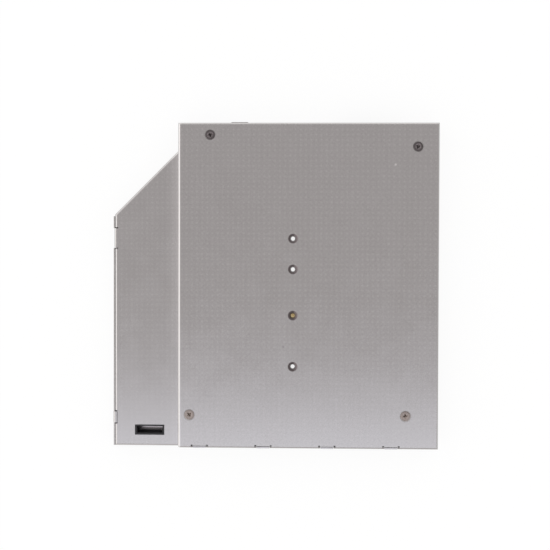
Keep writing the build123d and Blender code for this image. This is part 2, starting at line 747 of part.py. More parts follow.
# Card screw, driven in from the cover's side
with BuildPart() as card_screw:
    with BuildSketch(Plane.XY.offset(card_z)):
        with Locations(fitted_hole):
            Circle(card_screw_head_radius)
    extrude(amount=-card_screw_head_height)
    fillet(card_screw.faces().sort_by(Axis.Z)[0].edges(), card_screw_head_height / 3)
    with BuildSketch(Plane.XY.offset(card_z)):
        with Locations(fitted_hole):
            Circle(card_screw_radius)
    extrude(amount=card_screw_length)
    with Locations(Location((fitted_hole[0], fitted_hole[1], card_z - card_screw_head_height), (180, 0, 0))):
        add(cross_recess(screw_recess_radius, screw_recess_slot, card_screw_recess_depth), mode=Mode.SUBTRACT)
card_screw.part.label = "card_screw"
export_step(card_screw.part, "parts/card_screw.step")

# Voltage regulator and its leads
with BuildPart() as voltage_regulator:
    with BuildSketch(Plane.XY.offset(board_z)):
        with Locations(regulator_place):
            Rectangle(regulator_size[0], regulator_size[1])
    extrude(amount=-regulator_size[2])
    chamfer(voltage_regulator.faces().sort_by(Axis.Z)[0].edges(), regulator_chamfer)
voltage_regulator.part.label = "voltage_regulator"
export_step(voltage_regulator.part, "parts/voltage_regulator.step")

with BuildPart() as regulator_leads:
    first = column_x - (regulator_lead_count - 1) / 2 * regulator_pitch
    with Locations(*[(first + i * regulator_pitch, 0, 0) for i in range(regulator_lead_count)]):
        add(strip(regulator_lead_path(-1), lead_thickness, regulator_lead_width))
    with Locations((column_x, 0, 0)):
        add(strip(regulator_lead_path(1), lead_thickness, regulator_tab_width))
regulator_leads.part.label = "regulator_leads"
export_step(regulator_leads.part, "parts/regulator_leads.step")

# Power inductor: a block with chamfered corners and a round winding face
with BuildPart() as power_inductor:
    with Locations((*inductor_place, board_z)):
        Box(*inductor_size, align=(Align.CENTER, Align.CENTER, Align.MAX))
    chamfer(power_inductor.edges().filter_by(Axis.Z), inductor_chamfer)
    with BuildSketch(Plane.XY.offset(board_z - inductor_size[2])):
        with Locations(inductor_place):
            Circle(inductor_size[0] / 2 - inductor_chamfer)
            Circle(inductor_size[0] / 2 - inductor_chamfer - groove_width, mode=Mode.SUBTRACT)
    extrude(amount=groove_width, mode=Mode.SUBTRACT)
power_inductor.part.label = "power_inductor"
export_step(power_inductor.part, "parts/power_inductor.step")

# Rows of chips, and the light
with BuildPart() as tantalum_capacitors:
    with Locations(*chip_row(tantalum_x, board_front + tantalum_in, tantalum_pitch, tantalum_count)):
        add(chip(tantalum_size))
tantalum_capacitors.part.label = "tantalum_capacitors"
export_step(tantalum_capacitors.part, "parts/tantalum_capacitors.step")

with BuildPart() as ceramic_capacitors:
    with Locations(*chip_row(ceramic_x, board_front + ceramic_in, ceramic_pitch, ceramic_count)):
        add(chip(ceramic_size))
ceramic_capacitors.part.label = "ceramic_capacitors"
export_step(ceramic_capacitors.part, "parts/ceramic_capacitors.step")

with BuildPart() as chip_resistors:
    with Locations(*chip_row(resistor_x, board_front + resistor_in, resistor_pitch, resistor_count)):
        add(chip(resistor_size))
chip_resistors.part.label = "chip_resistors"
export_step(chip_resistors.part, "parts/chip_resistors.step")

with BuildPart() as activity_light:
    with Locations(*chip_row(column_x, board_front + light_in, 0, 1)):
        add(chip(light_size))
activity_light.part.label = "activity_light"
export_step(activity_light.part, "parts/activity_light.step")
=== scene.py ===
import math
from collections import namedtuple

import bpy
import numpy as np
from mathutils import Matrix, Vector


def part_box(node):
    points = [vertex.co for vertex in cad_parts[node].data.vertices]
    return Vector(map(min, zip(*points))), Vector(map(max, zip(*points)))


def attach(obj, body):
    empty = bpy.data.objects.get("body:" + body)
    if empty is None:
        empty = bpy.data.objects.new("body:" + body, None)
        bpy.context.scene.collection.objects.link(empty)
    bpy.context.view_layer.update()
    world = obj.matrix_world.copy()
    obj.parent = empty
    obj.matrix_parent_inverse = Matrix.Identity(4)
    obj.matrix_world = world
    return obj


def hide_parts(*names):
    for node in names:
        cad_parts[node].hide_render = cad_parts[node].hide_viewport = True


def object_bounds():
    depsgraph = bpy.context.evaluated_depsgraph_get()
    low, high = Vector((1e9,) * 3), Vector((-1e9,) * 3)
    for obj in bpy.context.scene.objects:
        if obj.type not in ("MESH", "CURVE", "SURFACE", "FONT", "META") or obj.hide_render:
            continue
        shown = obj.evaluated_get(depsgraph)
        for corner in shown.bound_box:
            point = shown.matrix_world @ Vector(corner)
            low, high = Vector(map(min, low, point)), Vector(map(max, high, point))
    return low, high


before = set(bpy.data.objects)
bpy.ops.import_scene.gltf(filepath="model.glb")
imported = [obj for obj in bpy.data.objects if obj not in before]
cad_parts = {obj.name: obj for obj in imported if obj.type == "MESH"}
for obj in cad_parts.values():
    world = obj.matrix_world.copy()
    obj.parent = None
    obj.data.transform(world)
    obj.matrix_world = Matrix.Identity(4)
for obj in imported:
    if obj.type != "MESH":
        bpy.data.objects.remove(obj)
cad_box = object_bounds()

bl_info = {
    "name": "Laptop drive caddy",
    "version": (1, 0, 0),
    "blender": (4, 5, 0),
    "location": "View3D > Sidebar > Caddy",
    "description": "Builds the fasteners, threads, solder and finishes of a stepped sheet-metal drive caddy",
    "category": "Add Mesh",
}

MM = 0.001


# Sizes and colours that a user would change

def length(name, description, value):
    """A length that a user may change, given in millimetres."""
    return bpy.props.FloatProperty(
        name=name, description=description, default=value * MM, min=0.0, precision=5, subtype="DISTANCE",
        unit="LENGTH")


def tint(name, description, value):
    """A colour that a user may change."""
    return bpy.props.FloatVectorProperty(
        name=name, description=description, default=value, size=3, min=0.0, max=1.0, subtype="COLOR")


def share(name, description, value):
    """A share from 0 to 1 that a user may change."""
    return bpy.props.FloatProperty(
        name=name, description=description, default=value, min=0.0, max=1.0, precision=3, subtype="FACTOR")


def radiance(name, description, value):
    """A light's strength that a user may change."""
    return bpy.props.FloatProperty(name=name, description=description, default=value, min=0.0, max=4.0)


class SheetFinish(bpy.types.PropertyGroup):
    colour: tint("Sheet colour", "Colour of the bare satin sheet", (0.515, 0.503, 0.497))
    roughness: share("Roughness", "How wide the sheet spreads a reflection", 0.18)
    grain: length("Grain size", "Size of the fine grain in the rolled surface", 0.32)
    grain_depth: length("Grain depth", "Depth of the fine grain", 0.0022)
    mottle: length("Mottle size", "Size of the soft cloudy patches", 9.0)
    # Partly painted highlight: this brightening stands for worn metal and also for the highlight on the
    # bends.
    wear: share("Edge wear", "How much the worn edges and bends brighten", 0.55)
    dimple_pitch: length("Dimple pitch", "Spacing of the faint rows of dimples", 2.02)
    dimple_depth: share("Dimple depth", "How much the faint dimples brighten the sheet", 0.095)
    # Painted shade: the ring colour darkens the mouths of the card holes and the seats round the screw heads;
    # it also colours a dark speck.
    ring: tint("Ring colour", "Dark rings where the card holes are drawn in and cut", (0.120, 0.102, 0.104))


class MetalFinish(bpy.types.PropertyGroup):
    screw: tint("Screw colour", "Dark zinc of the case screws", (0.235, 0.210, 0.212))
    # Painted reflection: the front screws are the same zinc as the rear ones, painted lighter and browner for
    # the bright front light they reflect.
    front_screw_lit: tint("Front screw colour", "Worn, browner zinc of the front case screws",
                      (0.375, 0.325, 0.297))
    post: tint("Post colour", "Plated posts and spacers", (0.52, 0.51, 0.50))
    brass: tint("Brass colour", "Turned brass of the standoff", (0.70, 0.58, 0.34))
    gold: tint("Contact colour", "Gold flash of the contacts", (0.83, 0.66, 0.32))
    tin: tint("Tin colour", "Tinned nails, leads and solder", (0.70, 0.70, 0.69))


class MouldedFinish(bpy.types.PropertyGroup):
    plastic: tint("Plastic colour", "Black moulded plastic", (0.018, 0.018, 0.020))
    board: tint("Board colour", "Solder mask of the board", (0.012, 0.105, 0.045))
    film: tint("Film colour", "Insulating film", (0.060, 0.060, 0.064))
    ferrite: tint("Ferrite colour", "Fired block of the inductor", (0.085, 0.085, 0.092))
    tantalum: tint("Tantalum colour", "Moulded capacitors", (0.70, 0.42, 0.07))
    band: tint("Band colour", "Polarity band of the capacitors", (0.26, 0.10, 0.03))
    ceramic: tint("Ceramic colour", "Fired capacitors", (0.46, 0.33, 0.21))
    resistor: tint("Resistor colour", "Fired resistors", (0.035, 0.035, 0.042))
    lens: tint("Lens colour", "Clear lens of the activity light", (0.72, 0.78, 0.70))


class ScrewSizes(bpy.types.PropertyGroup):
    head_radius: length("Head radius", "Radius of the countersunk head", 1.9)
    shank_radius: length("Thread radius", "Outside radius of the thread", 0.95)
    pitch: length("Pitch", "Rise of the thread in one turn", 0.4)
    thread_depth: length("Thread depth", "Depth of the thread", 0.16)
    recess_radius: length("Recess radius", "Reach of the cross recess", 1.08)
    recess_slot: length("Recess slot", "Width of one arm of the cross recess", 0.5)
    recess_depth: length("Recess depth", "Depth of the cross recess in its middle", 0.85)
    card_head_radius: length("Card screw head radius", "Radius of the flat round head", 1.75)
    card_shank_radius: length("Card screw thread radius", "Outside radius of the card screw's thread", 0.8)


class HoleSizes(bpy.types.PropertyGroup):
    bore_radius: length("Bore radius", "Radius of the drawn-in card holes", 0.85)
    ridge: length("Thread ridge", "How far the cut thread stands into the bore", 0.08)
    pitch: length("Thread pitch", "Rise of the cut thread in one turn", 0.4)


class StudioLight(bpy.types.PropertyGroup):
    overhead: tint("Overhead", "Light that comes from straight above", (0.602, 0.577, 0.578))
    front_panel: tint("Front panel", "Light from the soft panel in front of the zenith", (0.925, 0.93, 1.0))
    front_strength: radiance("Front strength", "Radiance of the soft panel", 1.40)
    side_strength: radiance("Side strength", "Radiance towards the left and the rear", 1.6)
    far_strength: radiance("Far strength", "Radiance towards the right and the front", 0.72)
    room: tint("Room", "Plain light on everything that isn't shiny", (0.85, 0.84, 0.84))
    floor_glow: share("Floor glow", "How much of the floor's white doesn't take a shadow", 0.86)
    floor_colour: tint("Floor colour", "Colour of the floor under the lights", (0.17, 0.17, 0.17))


# Places, repeated from the model, in millimetres; the last value of a case screw is its turn in degrees

rear_screw_places = [(-25.3, 58.6, 20.0), (55.7, 54.0, 64.0)]
front_screw_places = [(-33.3, -51.0, 38.0), (51.25, -51.0, 8.0)]
case_screw_top, case_screw_tip = 12.57, 6.57
card_line_x = 7.2
free_hole_places = [18.15, 6.15, -31.85]
fitted_hole_y = -11.85
burr_low, burr_high = 11.0, 11.85
standoff_low, standoff_high = 6.15, 11.8
bracket_hole_places = [-33.8, -21.8]
bracket_hole_z = 6.0
board_low = 8.6
bracket_thread_start, bracket_thread_end = 61.64, 63.26
step_x = -37.8
step_crest_low = 11.3
pocket_floor_low, pocket_floor_high = 0.5, 1.0


# Marks on the sheet, in millimetres: places, distance at which a mark ends and at which it is full, strength

Mark = namedtuple("Mark", "places ends full strength")
# The hole and seat marks are painted shade: dark rings in the hole mouths and round the screw heads.
hole_shade_mark = Mark([(card_line_x, y) for y in free_hole_places + [fitted_hole_y]], 2.05, 1.68, 1.0)
rear_seat_shade_mark = Mark([spot[:2] for spot in rear_screw_places], 2.3, 1.95, 0.4)
front_seat_shade_mark = Mark([spot[:2] for spot in front_screw_places], 2.45, 2.1, 0.25)
nick_mark = Mark([(46.95, 47.0)], 0.62, 0.2, 1.0)
speck_mark = Mark([(3.55, -24.1)], 0.6, 0.15, 0.3)


# Finishes: grain, mottle and depth are in millimetres, and swings are shares of the colour and the roughness

Finish = namedtuple("Finish", "roughness metallic grain mottle depth colour_swing rough_swing")
zinc_finish = Finish(0.30, 1.0, 0.18, 1.2, 0.004, 0.22, 0.25)
card_screw_finish = Finish(0.34, 1.0, 0.18, 1.2, 0.004, 0.2, 0.25)
brass_finish = Finish(0.24, 1.0, 0.1, 1.5, 0.003, 0.10, 0.3)
cut_sheet_finish = Finish(0.3, 1.0, 0.1, 1.0, 0.003, 0.12, 0.3)
post_finish = Finish(0.28, 1.0, 0.12, 2.0, 0.003, 0.08, 0.3)
clip_block_finish = Finish(0.74, 0.0, 0.16, 3.0, 0.02, 0.3, 0.1)
connector_finish = Finish(0.36, 0.0, 0.1, 2.0, 0.01, 0.25, 0.2)
regulator_finish = Finish(0.55, 0.0, 0.08, 1.0, 0.01, 0.35, 0.2)
gold_finish = Finish(0.2, 1.0, 0.08, 1.5, 0.002, 0.12, 0.35)
tin_finish = Finish(0.34, 1.0, 0.1, 1.2, 0.004, 0.12, 0.4)
solder_finish = Finish(0.22, 1.0, 0.3, 1.0, 0.006, 0.1, 0.4)
film_finish = Finish(0.22, 0.0, 0.6, 6.0, 0.01, 0.15, 0.3)
ferrite_finish = Finish(0.6, 0.0, 0.09, 0.8, 0.02, 0.4, 0.15)
ferrite_wear_colour = (0.22, 0.22, 0.23)
# Painted light: the bright colour of the patch at the bottom of the clip pocket.
pocket_light_colour = (0.95, 0.91, 0.95)


# Rows of chips along X, in millimetres: first place, pitch, half a chip's length, length of its end

ChipRow = namedtuple("ChipRow", "first pitch half end")
tantalum_row = ChipRow(0.2, 4.6, 1.75, 0.7)
ceramic_row = ChipRow(8.8, 2.1, 0.8, 0.35)
resistor_row = ChipRow(-11.35, 1.6, 0.5, 0.22)
light_row = ChipRow(-8.95, 4.0, 0.8, 0.35)


# Studio: where each light begins and is full, in degrees off straight up, or as a share along an axis

panel_rise, panel_fall = (6.0, 12.4), (17.0, 34.0)
left_rise, rear_rise = (16.0, 25.0), (42.0, 58.0)
far_heights = (0.90, 0.70)
left_fade, left_kept = (0.2, 0.5), 0.55
horizon_fade = (0.12, 0.35)
far_tone = (1.0, 0.98, 0.98)
side_tone = (1.0, 0.975, 0.97)
white = (1.0, 1.0, 1.0, 1.0)
floor_reach = 4.0
floor_gap = 0.03 * MM
camera_lens = 67.15
camera_sensor = 36.0
camera_place = (0.01185, 0.011802, 0.4127)
camera_turn = (-1.1184, 1.6673, 0.1742)


def mm(value):
    """A property's length in millimetres."""
    return value / MM


# Surfaces as arrays

def smooth(value):
    """Eases from 0 to 1: v squared times three minus two v, with v held between 0 and 1."""
    held = np.clip(value, 0.0, 1.0)
    return held * held * (3.0 - 2.0 * held)


def volume(points, faces):
    """Signed volume: a sixth of the sum over triangles of the first corner dotted with the others' cross."""
    total = 0.0
    for size in (3, 4):
        picked = np.array([face for face in faces if len(face) == size])
        if not len(picked):
            continue
        for second in range(1, size - 1):
            a, b, c = points[picked[:, 0]], points[picked[:, second]], points[picked[:, second + 1]]
            total += np.einsum("ij,ij->i", a, np.cross(b, c)).sum() / 6.0
    return total


def outward(points, faces):
    """The skin with its faces turned round if its signed volume is below zero."""
    if volume(points - points.mean(axis=0), faces) < 0.0:
        faces = [face[::-1] for face in faces]
    return points, faces


def closed_skin(grid):
    """Skin over points [row, turn]: rows are joined by quads that wrap round, ends close on their means."""
    rows, turns = grid.shape[:2]
    low = np.arange(rows - 1)[:, None] * turns
    here = np.arange(turns)[None, :]
    after = (here + 1) % turns
    quads = np.stack([low + here, low + after, low + turns + after, low + turns + here], axis=-1)
    pole = rows * turns
    first = np.stack([np.full(turns, pole), after[0], here[0]], axis=-1)
    last = np.stack([np.full(turns, pole + 1), pole - turns + here[0], pole - turns + after[0]], axis=-1)
    points = np.concatenate([grid.reshape(-1, 3), grid[0].mean(axis=0)[None], grid[-1].mean(axis=0)[None]])
    return outward(points, quads.reshape(-1, 4).tolist() + first.tolist() + last.tolist())


def ring_skin(grid):
    """Skin over points [row, turn] where both rows and turns wrap round, as on a ring."""
    rows, turns = grid.shape[:2]
    row = np.arange(rows)[:, None]
    turn = np.arange(turns)[None, :]
    next_row, next_turn = (row + 1) % rows, (turn + 1) % turns
    quads = np.stack([row * turns + turn, row * turns + next_turn, next_row * turns + next_turn,
                      next_row * turns + turn], axis=-1)
    return outward(grid.reshape(-1, 3), quads.reshape(-1, 4).tolist())


def around(count):
    """Angles of a full turn, in one row."""
    return np.linspace(0.0, 2.0 * math.pi, count, endpoint=False)[None, :]


def round_grid(radius, height, turn):
    """Points of radius times cosine, radius times sine and height, for arrays [row, turn]."""
    return np.stack([radius * np.cos(turn), radius * np.sin(turn), height + 0.0 * turn], axis=-1)


def moved(grid, x=0.0, y=0.0, z=0.0):
    """Points with a place added to them."""
    return grid + np.array([x, y, z])


def thread_wave(height, turn, pitch):
    """Triangle wave from 0 at the root to 1 at the crest, of height over pitch less the turn's share."""
    phase = (height / pitch - turn / (2.0 * math.pi)) % 1.0
    return 1.0 - np.abs(2.0 * phase - 1.0)


def recess_depth(x, y, reach, slot, depth):
    """Depth of a cross recess: the deeper of two arms, each falling to its point in the middle as a power of
    one less the share of its reach, and easing out at its walls."""
    taper, wall_share, fall = 0.25, 0.45, 0.8

    def arm(along, across):
        """Depth of one arm."""
        left_over = 1.0 - np.abs(along) / reach
        width = 0.5 * slot * (1.0 - taper * np.abs(along) / reach)
        wall = smooth((width - np.abs(across)) / (wall_share * slot) + 0.5)
        return depth * wall * np.clip(left_over, 0.0, 1.0) ** fall
    return np.maximum(arm(x, y), arm(y, x))


def cross_screw(head, shank, top, tip, neck, pitch, cut, reach, slot, depth, angle, dome):
    """Cross-head screw: a profile of radius and height, turned round, with the recess taken off the head's
    height and a triangle thread taken off the shank's radius."""
    inmost, rim, tail, collar, overlap = 0.03, 0.1, 0.25, 0.02, 0.05
    recess_rows, brim_rows, rim_rows, thread_rows = 30, 4, 6, 8.0
    turn = around(count=96)
    cap = np.concatenate([np.linspace(inmost, 1.25 * reach, recess_rows),
                          np.linspace(1.3 * reach, head - 1.2 * rim, brim_rows)])
    rounding = np.linspace(0.0, 0.5 * math.pi, rim_rows)
    shank_z = np.arange(neck - overlap, tip + tail, -pitch / thread_rows)
    tail_radius = np.array([0.86, 0.62, 0.3]) * shank
    tail_z = np.array([0.12, 0.02, 0.0]) + tip
    radius = np.concatenate([cap, head - rim + rim * np.sin(rounding), np.array([shank + collar]),
                             np.full(len(shank_z), shank), tail_radius])
    crown = top - dome * (cap / head) ** 2
    rim_z = crown[-1] - 0.1 * rim - rim * (1.0 - np.cos(rounding))
    height = np.concatenate([crown, rim_z, np.array([neck]), shank_z, tail_z])
    threaded = np.zeros(len(radius))
    first = len(cap) + rim_rows + 1
    threaded[first:first + len(shank_z)] = smooth((neck - shank_z) / (1.5 * pitch))
    radius, height, threaded = radius[:, None], height[:, None], threaded[:, None]
    worn = radius - cut * threaded * (1.0 - thread_wave(height, turn, pitch))
    x = radius * np.cos(turn - angle)
    y = radius * np.sin(turn - angle)
    on_cap = (np.arange(len(radius)) < len(cap))[:, None]
    sunk = np.where(on_cap, recess_depth(x, y, reach, slot, depth), 0.0)
    return round_grid(worn, height - sunk, turn)


def hexagon(half_flats, turn):
    """Radius of a hexagon: half its width across flats over the cosine of the angle off the nearest flat."""
    off = (turn + math.pi / 6.0) % (math.pi / 3.0) - math.pi / 6.0
    return half_flats / np.cos(off)


def standoff_grid():
    """Standoff: from the end of its bore down the threaded wall, out over the foot, up the hexagon with its
    corners turned off, in over the shoulder and up the threaded stud to its chamfered end."""
    pitch, bore, bore_ridge, bore_depth, bore_end = 0.4, 0.85, 0.08, 3.0, 0.3
    stud, stud_ridge, stud_neck, foot = 0.8, 0.10, 0.72, 0.95
    half_flats, groove_limit, groove_low = 1.8, 1.9, 7.3
    corner_steps, corner_limits = np.array([0.0, 0.12, 0.3]), np.array([1.72, 1.86, 2.2])
    groove_steps, groove_cuts = np.array([0.0, 0.12, 0.24, 0.36]), np.array([0.0, 0.05, 0.05, 0.0])
    end_radii = np.array([0.76, 0.72, 0.50, 0.42, 0.36, 0.1])
    end_drops = np.array([0.08, 0.01, 0.0, 0.08, 0.5, 0.68])
    end_gap, mouth_gap, neck_gap, tip_gap, thread_rows = 0.1, 0.15, 0.08, 0.12, 8.0
    turn = around(count=96)
    bore_z = np.arange(standoff_low + bore_depth - end_gap, standoff_low + mouth_gap, -pitch / thread_rows)
    stud_z = np.arange(burr_low + neck_gap, standoff_high - tip_gap, pitch / thread_rows)
    bore_wall = bore + bore_ridge * (thread_wave(bore_z[:, None], turn, pitch) - 1.0)
    stud_wall = stud + stud_ridge * (thread_wave(stud_z[:, None], turn, pitch) - 1.0)
    flats = hexagon(half_flats, turn)
    lower = np.minimum(flats, corner_limits[:, None])
    groove = np.minimum(flats, groove_limit) - groove_cuts[:, None]
    rows = [
        (bore_end, [standoff_low + bore_depth]),
        (bore_wall, bore_z),
        (foot, [standoff_low]),
        (lower, standoff_low + corner_steps),
        (groove, groove_low + groove_steps),
        (lower[::-1], burr_low - corner_steps[::-1]),
        (stud_neck, [burr_low]),
        (stud_wall, stud_z),
        (end_radii[:, None], standoff_high - end_drops),
    ]
    flat = 0.0 * turn
    radius = np.concatenate([r + flat + 0.0 * np.array(z)[:, None] for r, z in rows])
    height = np.concatenate([np.array(z)[:, None] + flat for r, z in rows])
    return moved(round_grid(radius, height, turn), card_line_x, fitted_hole_y)


def thread_ring(radius, ridge, pitch, low, high):
    """Cut thread in a bore: a ring whose inner wall is the bore less a triangle ridge that eases out at both
    ends, and whose outer wall lies in the metal."""
    sunk, wall, run_out, thread_rows, past_end = 0.015, 0.12, 0.35 * pitch, 10.0, 1e-6
    turn = around(count=72)
    height = np.arange(low, high + past_end, pitch / thread_rows)[:, None]
    ease = smooth((height - low) / run_out) * smooth((high - height) / run_out)
    inner = radius + sunk - (ridge + sunk) * ease * thread_wave(height, turn, pitch)
    outer = radius + wall + 0.0 * inner
    return np.concatenate([round_grid(inner, height, turn), round_grid(outer, height, turn)[::-1]])


def solder_skin(x, y, half_x, half_y):
    """Solder round a foot: a rounded box outline that widens towards the board as the square of one less the
    share of the rise, then closes inside the board."""
    spread, rise, sunk, corner_power, rows, hidden_share = 0.4, 0.45, 0.06, 0.35, 9, 0.98
    turn = around(count=48)
    step = np.linspace(0.0, 1.0, rows)[:, None]
    out = spread * (1.0 - step) ** 2
    out = np.concatenate([out[:1] * hidden_share, out])
    level = np.concatenate([np.array([[-sunk]]), rise * step])
    across, along = np.cos(turn), np.sin(turn)
    skin_x = x + (half_x + out) * np.sign(across) * np.abs(across) ** corner_power
    skin_y = y + (half_y + out) * np.sign(along) * np.abs(along) ** corner_power
    return closed_skin(np.stack([skin_x, skin_y, board_low - level + 0.0 * skin_x], axis=-1))


# Objects

def place(name, skins, material, stands_for=()):
    """Puts skins, in millimetres, in one mesh on the caddy's body, smooth up to sharp corners."""
    sharp_angle = math.radians(38.0)
    points, faces, count = [], [], 0
    for skin_points, skin_faces in skins:
        points.append(skin_points)
        faces += [[index + count for index in face] for face in skin_faces]
        count += len(skin_points)
    mesh = bpy.data.meshes.new(name)
    mesh.from_pydata((np.concatenate(points) * MM).tolist(), [], faces)
    mesh.validate()
    mesh.shade_smooth()
    mesh.set_sharp_from_angle(angle=sharp_angle)
    piece = bpy.data.objects.new(name, mesh)
    bpy.context.scene.collection.objects.link(piece)
    mesh.materials.append(material)
    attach(piece, "root")
    if stands_for:
        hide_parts(*stands_for)


def dress(node, material):
    """Gives a node of the model its finish."""
    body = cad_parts[node]
    if body.material_slots:
        for held in body.material_slots:
            held.material = material
    else:
        body.data.materials.append(material)


# Shader parts

def put(tree, kind, inputs=None, **attributes):
    """Adds a node, sets its attributes, and gives each input a value or a link from another socket."""
    made = tree.nodes.new(kind)
    for key, value in attributes.items():
        setattr(made, key, value)
    for key, value in (inputs or {}).items():
        if isinstance(value, bpy.types.NodeSocket):
            tree.links.new(value, made.inputs[key])
        else:
            made.inputs[key].default_value = value
    return made


def calc(tree, operation, first, second=0.0, third=0.0):
    """A Math node's value."""
    return put(tree, "ShaderNodeMath", {0: first, 1: second, 2: third}, operation=operation).outputs[0]


def remap(tree, value, low, high, start=0.0, end=1.0, ease="SMOOTHSTEP"):
    """A value carried from low and high to start and end, eased and held between them."""
    made = put(tree, "ShaderNodeMapRange", {"Value": value, "From Min": low, "From Max": high,
                                            "To Min": start, "To Max": end}, interpolation_type=ease)
    return made.outputs["Result"]


def blend_colour(tree, factor, first, second, mode="MIX"):
    """Two colours mixed by a factor."""
    made = put(tree, "ShaderNodeMix", {0: factor, 6: first, 7: second}, data_type="RGBA", blend_type=mode)
    return made.outputs[2]


def swung(tree, base, *swings):
    """A base value with some values added to it, each times its own weight."""
    for value, weight in swings:
        base = calc(tree, "MULTIPLY_ADD", value, weight, base)
    return base


def rgba(colour):
    """A colour with full alpha."""
    return (colour[0], colour[1], colour[2], 1.0)


def brighter(colour, factor, lift=0.0):
    """A colour times a factor, with a lift, held below 1."""
    return [min(1.0, part * factor + lift) for part in colour]


def shone(colour, strength):
    """A light's colour times its strength."""
    return rgba([part * strength for part in colour])


def shaded_by(tree, colour, swing):
    """A colour times one value in each of its parts."""
    grey = put(tree, "ShaderNodeCombineColor", {0: swing, 1: swing, 2: swing}).outputs[0]
    return blend_colour(tree, 1.0, colour, grey, "MULTIPLY")


def object_place(tree):
    """X, Y and Z of Object coordinates, in metres."""
    where = put(tree, "ShaderNodeTexCoord").outputs["Object"]
    return put(tree, "ShaderNodeSeparateXYZ", {0: where}).outputs


def upward(tree, normal="True Normal"):
    """How far a face looks up, from -1 to 1."""
    way = put(tree, "ShaderNodeNewGeometry").outputs[normal]
    return put(tree, "ShaderNodeSeparateXYZ", {0: way}).outputs[2]


def start_group(name, inputs, outputs):
    """A new node group with named sockets, each a name, a type and, for inputs, a default."""
    tree = bpy.data.node_groups.new(name, "ShaderNodeTree")
    for label, kind, default in inputs:
        socket = tree.interface.new_socket(name=label, in_out="INPUT", socket_type=kind)
        socket.default_value = default
    for label, kind in outputs:
        tree.interface.new_socket(name=label, in_out="OUTPUT", socket_type=kind)
    return tree, tree.nodes.new("NodeGroupInput"), tree.nodes.new("NodeGroupOutput")


def grain_group():
    """Fine random grain on Object coordinates, and soft cloudy patches, both centred on zero."""
    name = "Grain and mottle"
    if name in bpy.data.node_groups:
        return bpy.data.node_groups[name]
    tree, given, result = start_group(
        name,
        [("Grain Scale", "NodeSocketFloat", 2500.0), ("Mottle Scale", "NodeSocketFloat", 90.0),
         ("Stretch", "NodeSocketVector", (1.0, 1.0, 1.0))],
        [("Grain", "NodeSocketFloat"), ("Mottle", "NodeSocketFloat"), ("Height", "NodeSocketFloat")])
    where = put(tree, "ShaderNodeTexCoord").outputs["Object"]
    spread = put(tree, "ShaderNodeVectorMath", {0: where, 1: given.outputs["Stretch"]},
                 operation="MULTIPLY").outputs[0]
    fine = put(tree, "ShaderNodeTexNoise", {"Vector": spread, "Scale": given.outputs["Grain Scale"],
                                            "Detail": 3.0, "Roughness": 0.6}).outputs["Fac"]
    cloud = put(tree, "ShaderNodeTexNoise", {"Vector": where, "Scale": given.outputs["Mottle Scale"],
                                             "Detail": 4.0, "Roughness": 0.55}).outputs["Fac"]
    tree.links.new(calc(tree, "SUBTRACT", fine, 0.5), result.inputs["Grain"])
    tree.links.new(calc(tree, "SUBTRACT", cloud, 0.5), result.inputs["Mottle"])
    tree.links.new(fine, result.inputs["Height"])
    return tree


def wear_group():
    """Mask of worn edges: how far the rounded normal leaves the face's own, broken up by a noise."""
    name = "Edge wear"
    if name in bpy.data.node_groups:
        return bpy.data.node_groups[name]
    noise_scale, whole, full_edge, noise_low, noise_high = 420.0, 0.99, 0.86, 0.35, 0.62
    tree, given, result = start_group(
        name, [("Radius", "NodeSocketFloat", 0.0004), ("Amount", "NodeSocketFloat", 0.5)],
        [("Mask", "NodeSocketFloat")])
    rounded = put(tree, "ShaderNodeBevel", {"Radius": given.outputs["Radius"]}, samples=4).outputs["Normal"]
    plain = put(tree, "ShaderNodeNewGeometry").outputs["Normal"]
    turned = put(tree, "ShaderNodeVectorMath", {0: rounded, 1: plain}, operation="DOT_PRODUCT")
    where = put(tree, "ShaderNodeTexCoord").outputs["Object"]
    broken = put(tree, "ShaderNodeTexNoise", {"Vector": where, "Scale": noise_scale, "Detail": 5.0})
    edge = remap(tree, turned.outputs["Value"], whole, full_edge)
    held = remap(tree, broken.outputs["Fac"], noise_low, noise_high)
    masked = calc(tree, "MULTIPLY", edge, held)
    tree.links.new(calc(tree, "MULTIPLY", masked, given.outputs["Amount"]), result.inputs["Mask"])
    return tree


def dimple_group():
    """Rows of faint dimples on faces that look up: the product of two cosines of X and Y over the pitch,
    sharpened by a power. They are fainter towards the front."""
    name = "Dimple rows"
    if name in bpy.data.node_groups:
        return bpy.data.node_groups[name]
    sharpness, faded_y, whole_y, faded_share, level_edge = 3.0, -55.0 * MM, -10.0 * MM, 0.35, (0.9, 0.98)
    tree, given, result = start_group(
        name, [("Pitch", "NodeSocketFloat", 0.002), ("Amount", "NodeSocketFloat", 0.02)],
        [("Mask", "NodeSocketFloat")])
    where = object_place(tree)
    waves = []
    for axis in (0, 1):
        turns = calc(tree, "DIVIDE", where[axis], given.outputs["Pitch"])
        wave = calc(tree, "COSINE", calc(tree, "MULTIPLY", turns, 2.0 * math.pi))
        waves.append(calc(tree, "MULTIPLY_ADD", wave, 0.5, 0.5))
    both = calc(tree, "POWER", calc(tree, "MULTIPLY", waves[0], waves[1]), sharpness)
    level = remap(tree, upward(tree), *level_edge)
    faded = remap(tree, where[1], faded_y, whole_y, faded_share, 1.0, "LINEAR")
    shown = calc(tree, "MULTIPLY", both, calc(tree, "MULTIPLY", level, faded))
    tree.links.new(calc(tree, "MULTIPLY", shown, given.outputs["Amount"]), result.inputs["Mask"])
    return tree


def use_group(tree, group, inputs):
    """Places a node group with its own values, and gives its outputs."""
    return put(tree, "ShaderNodeGroup", inputs, node_tree=group).outputs


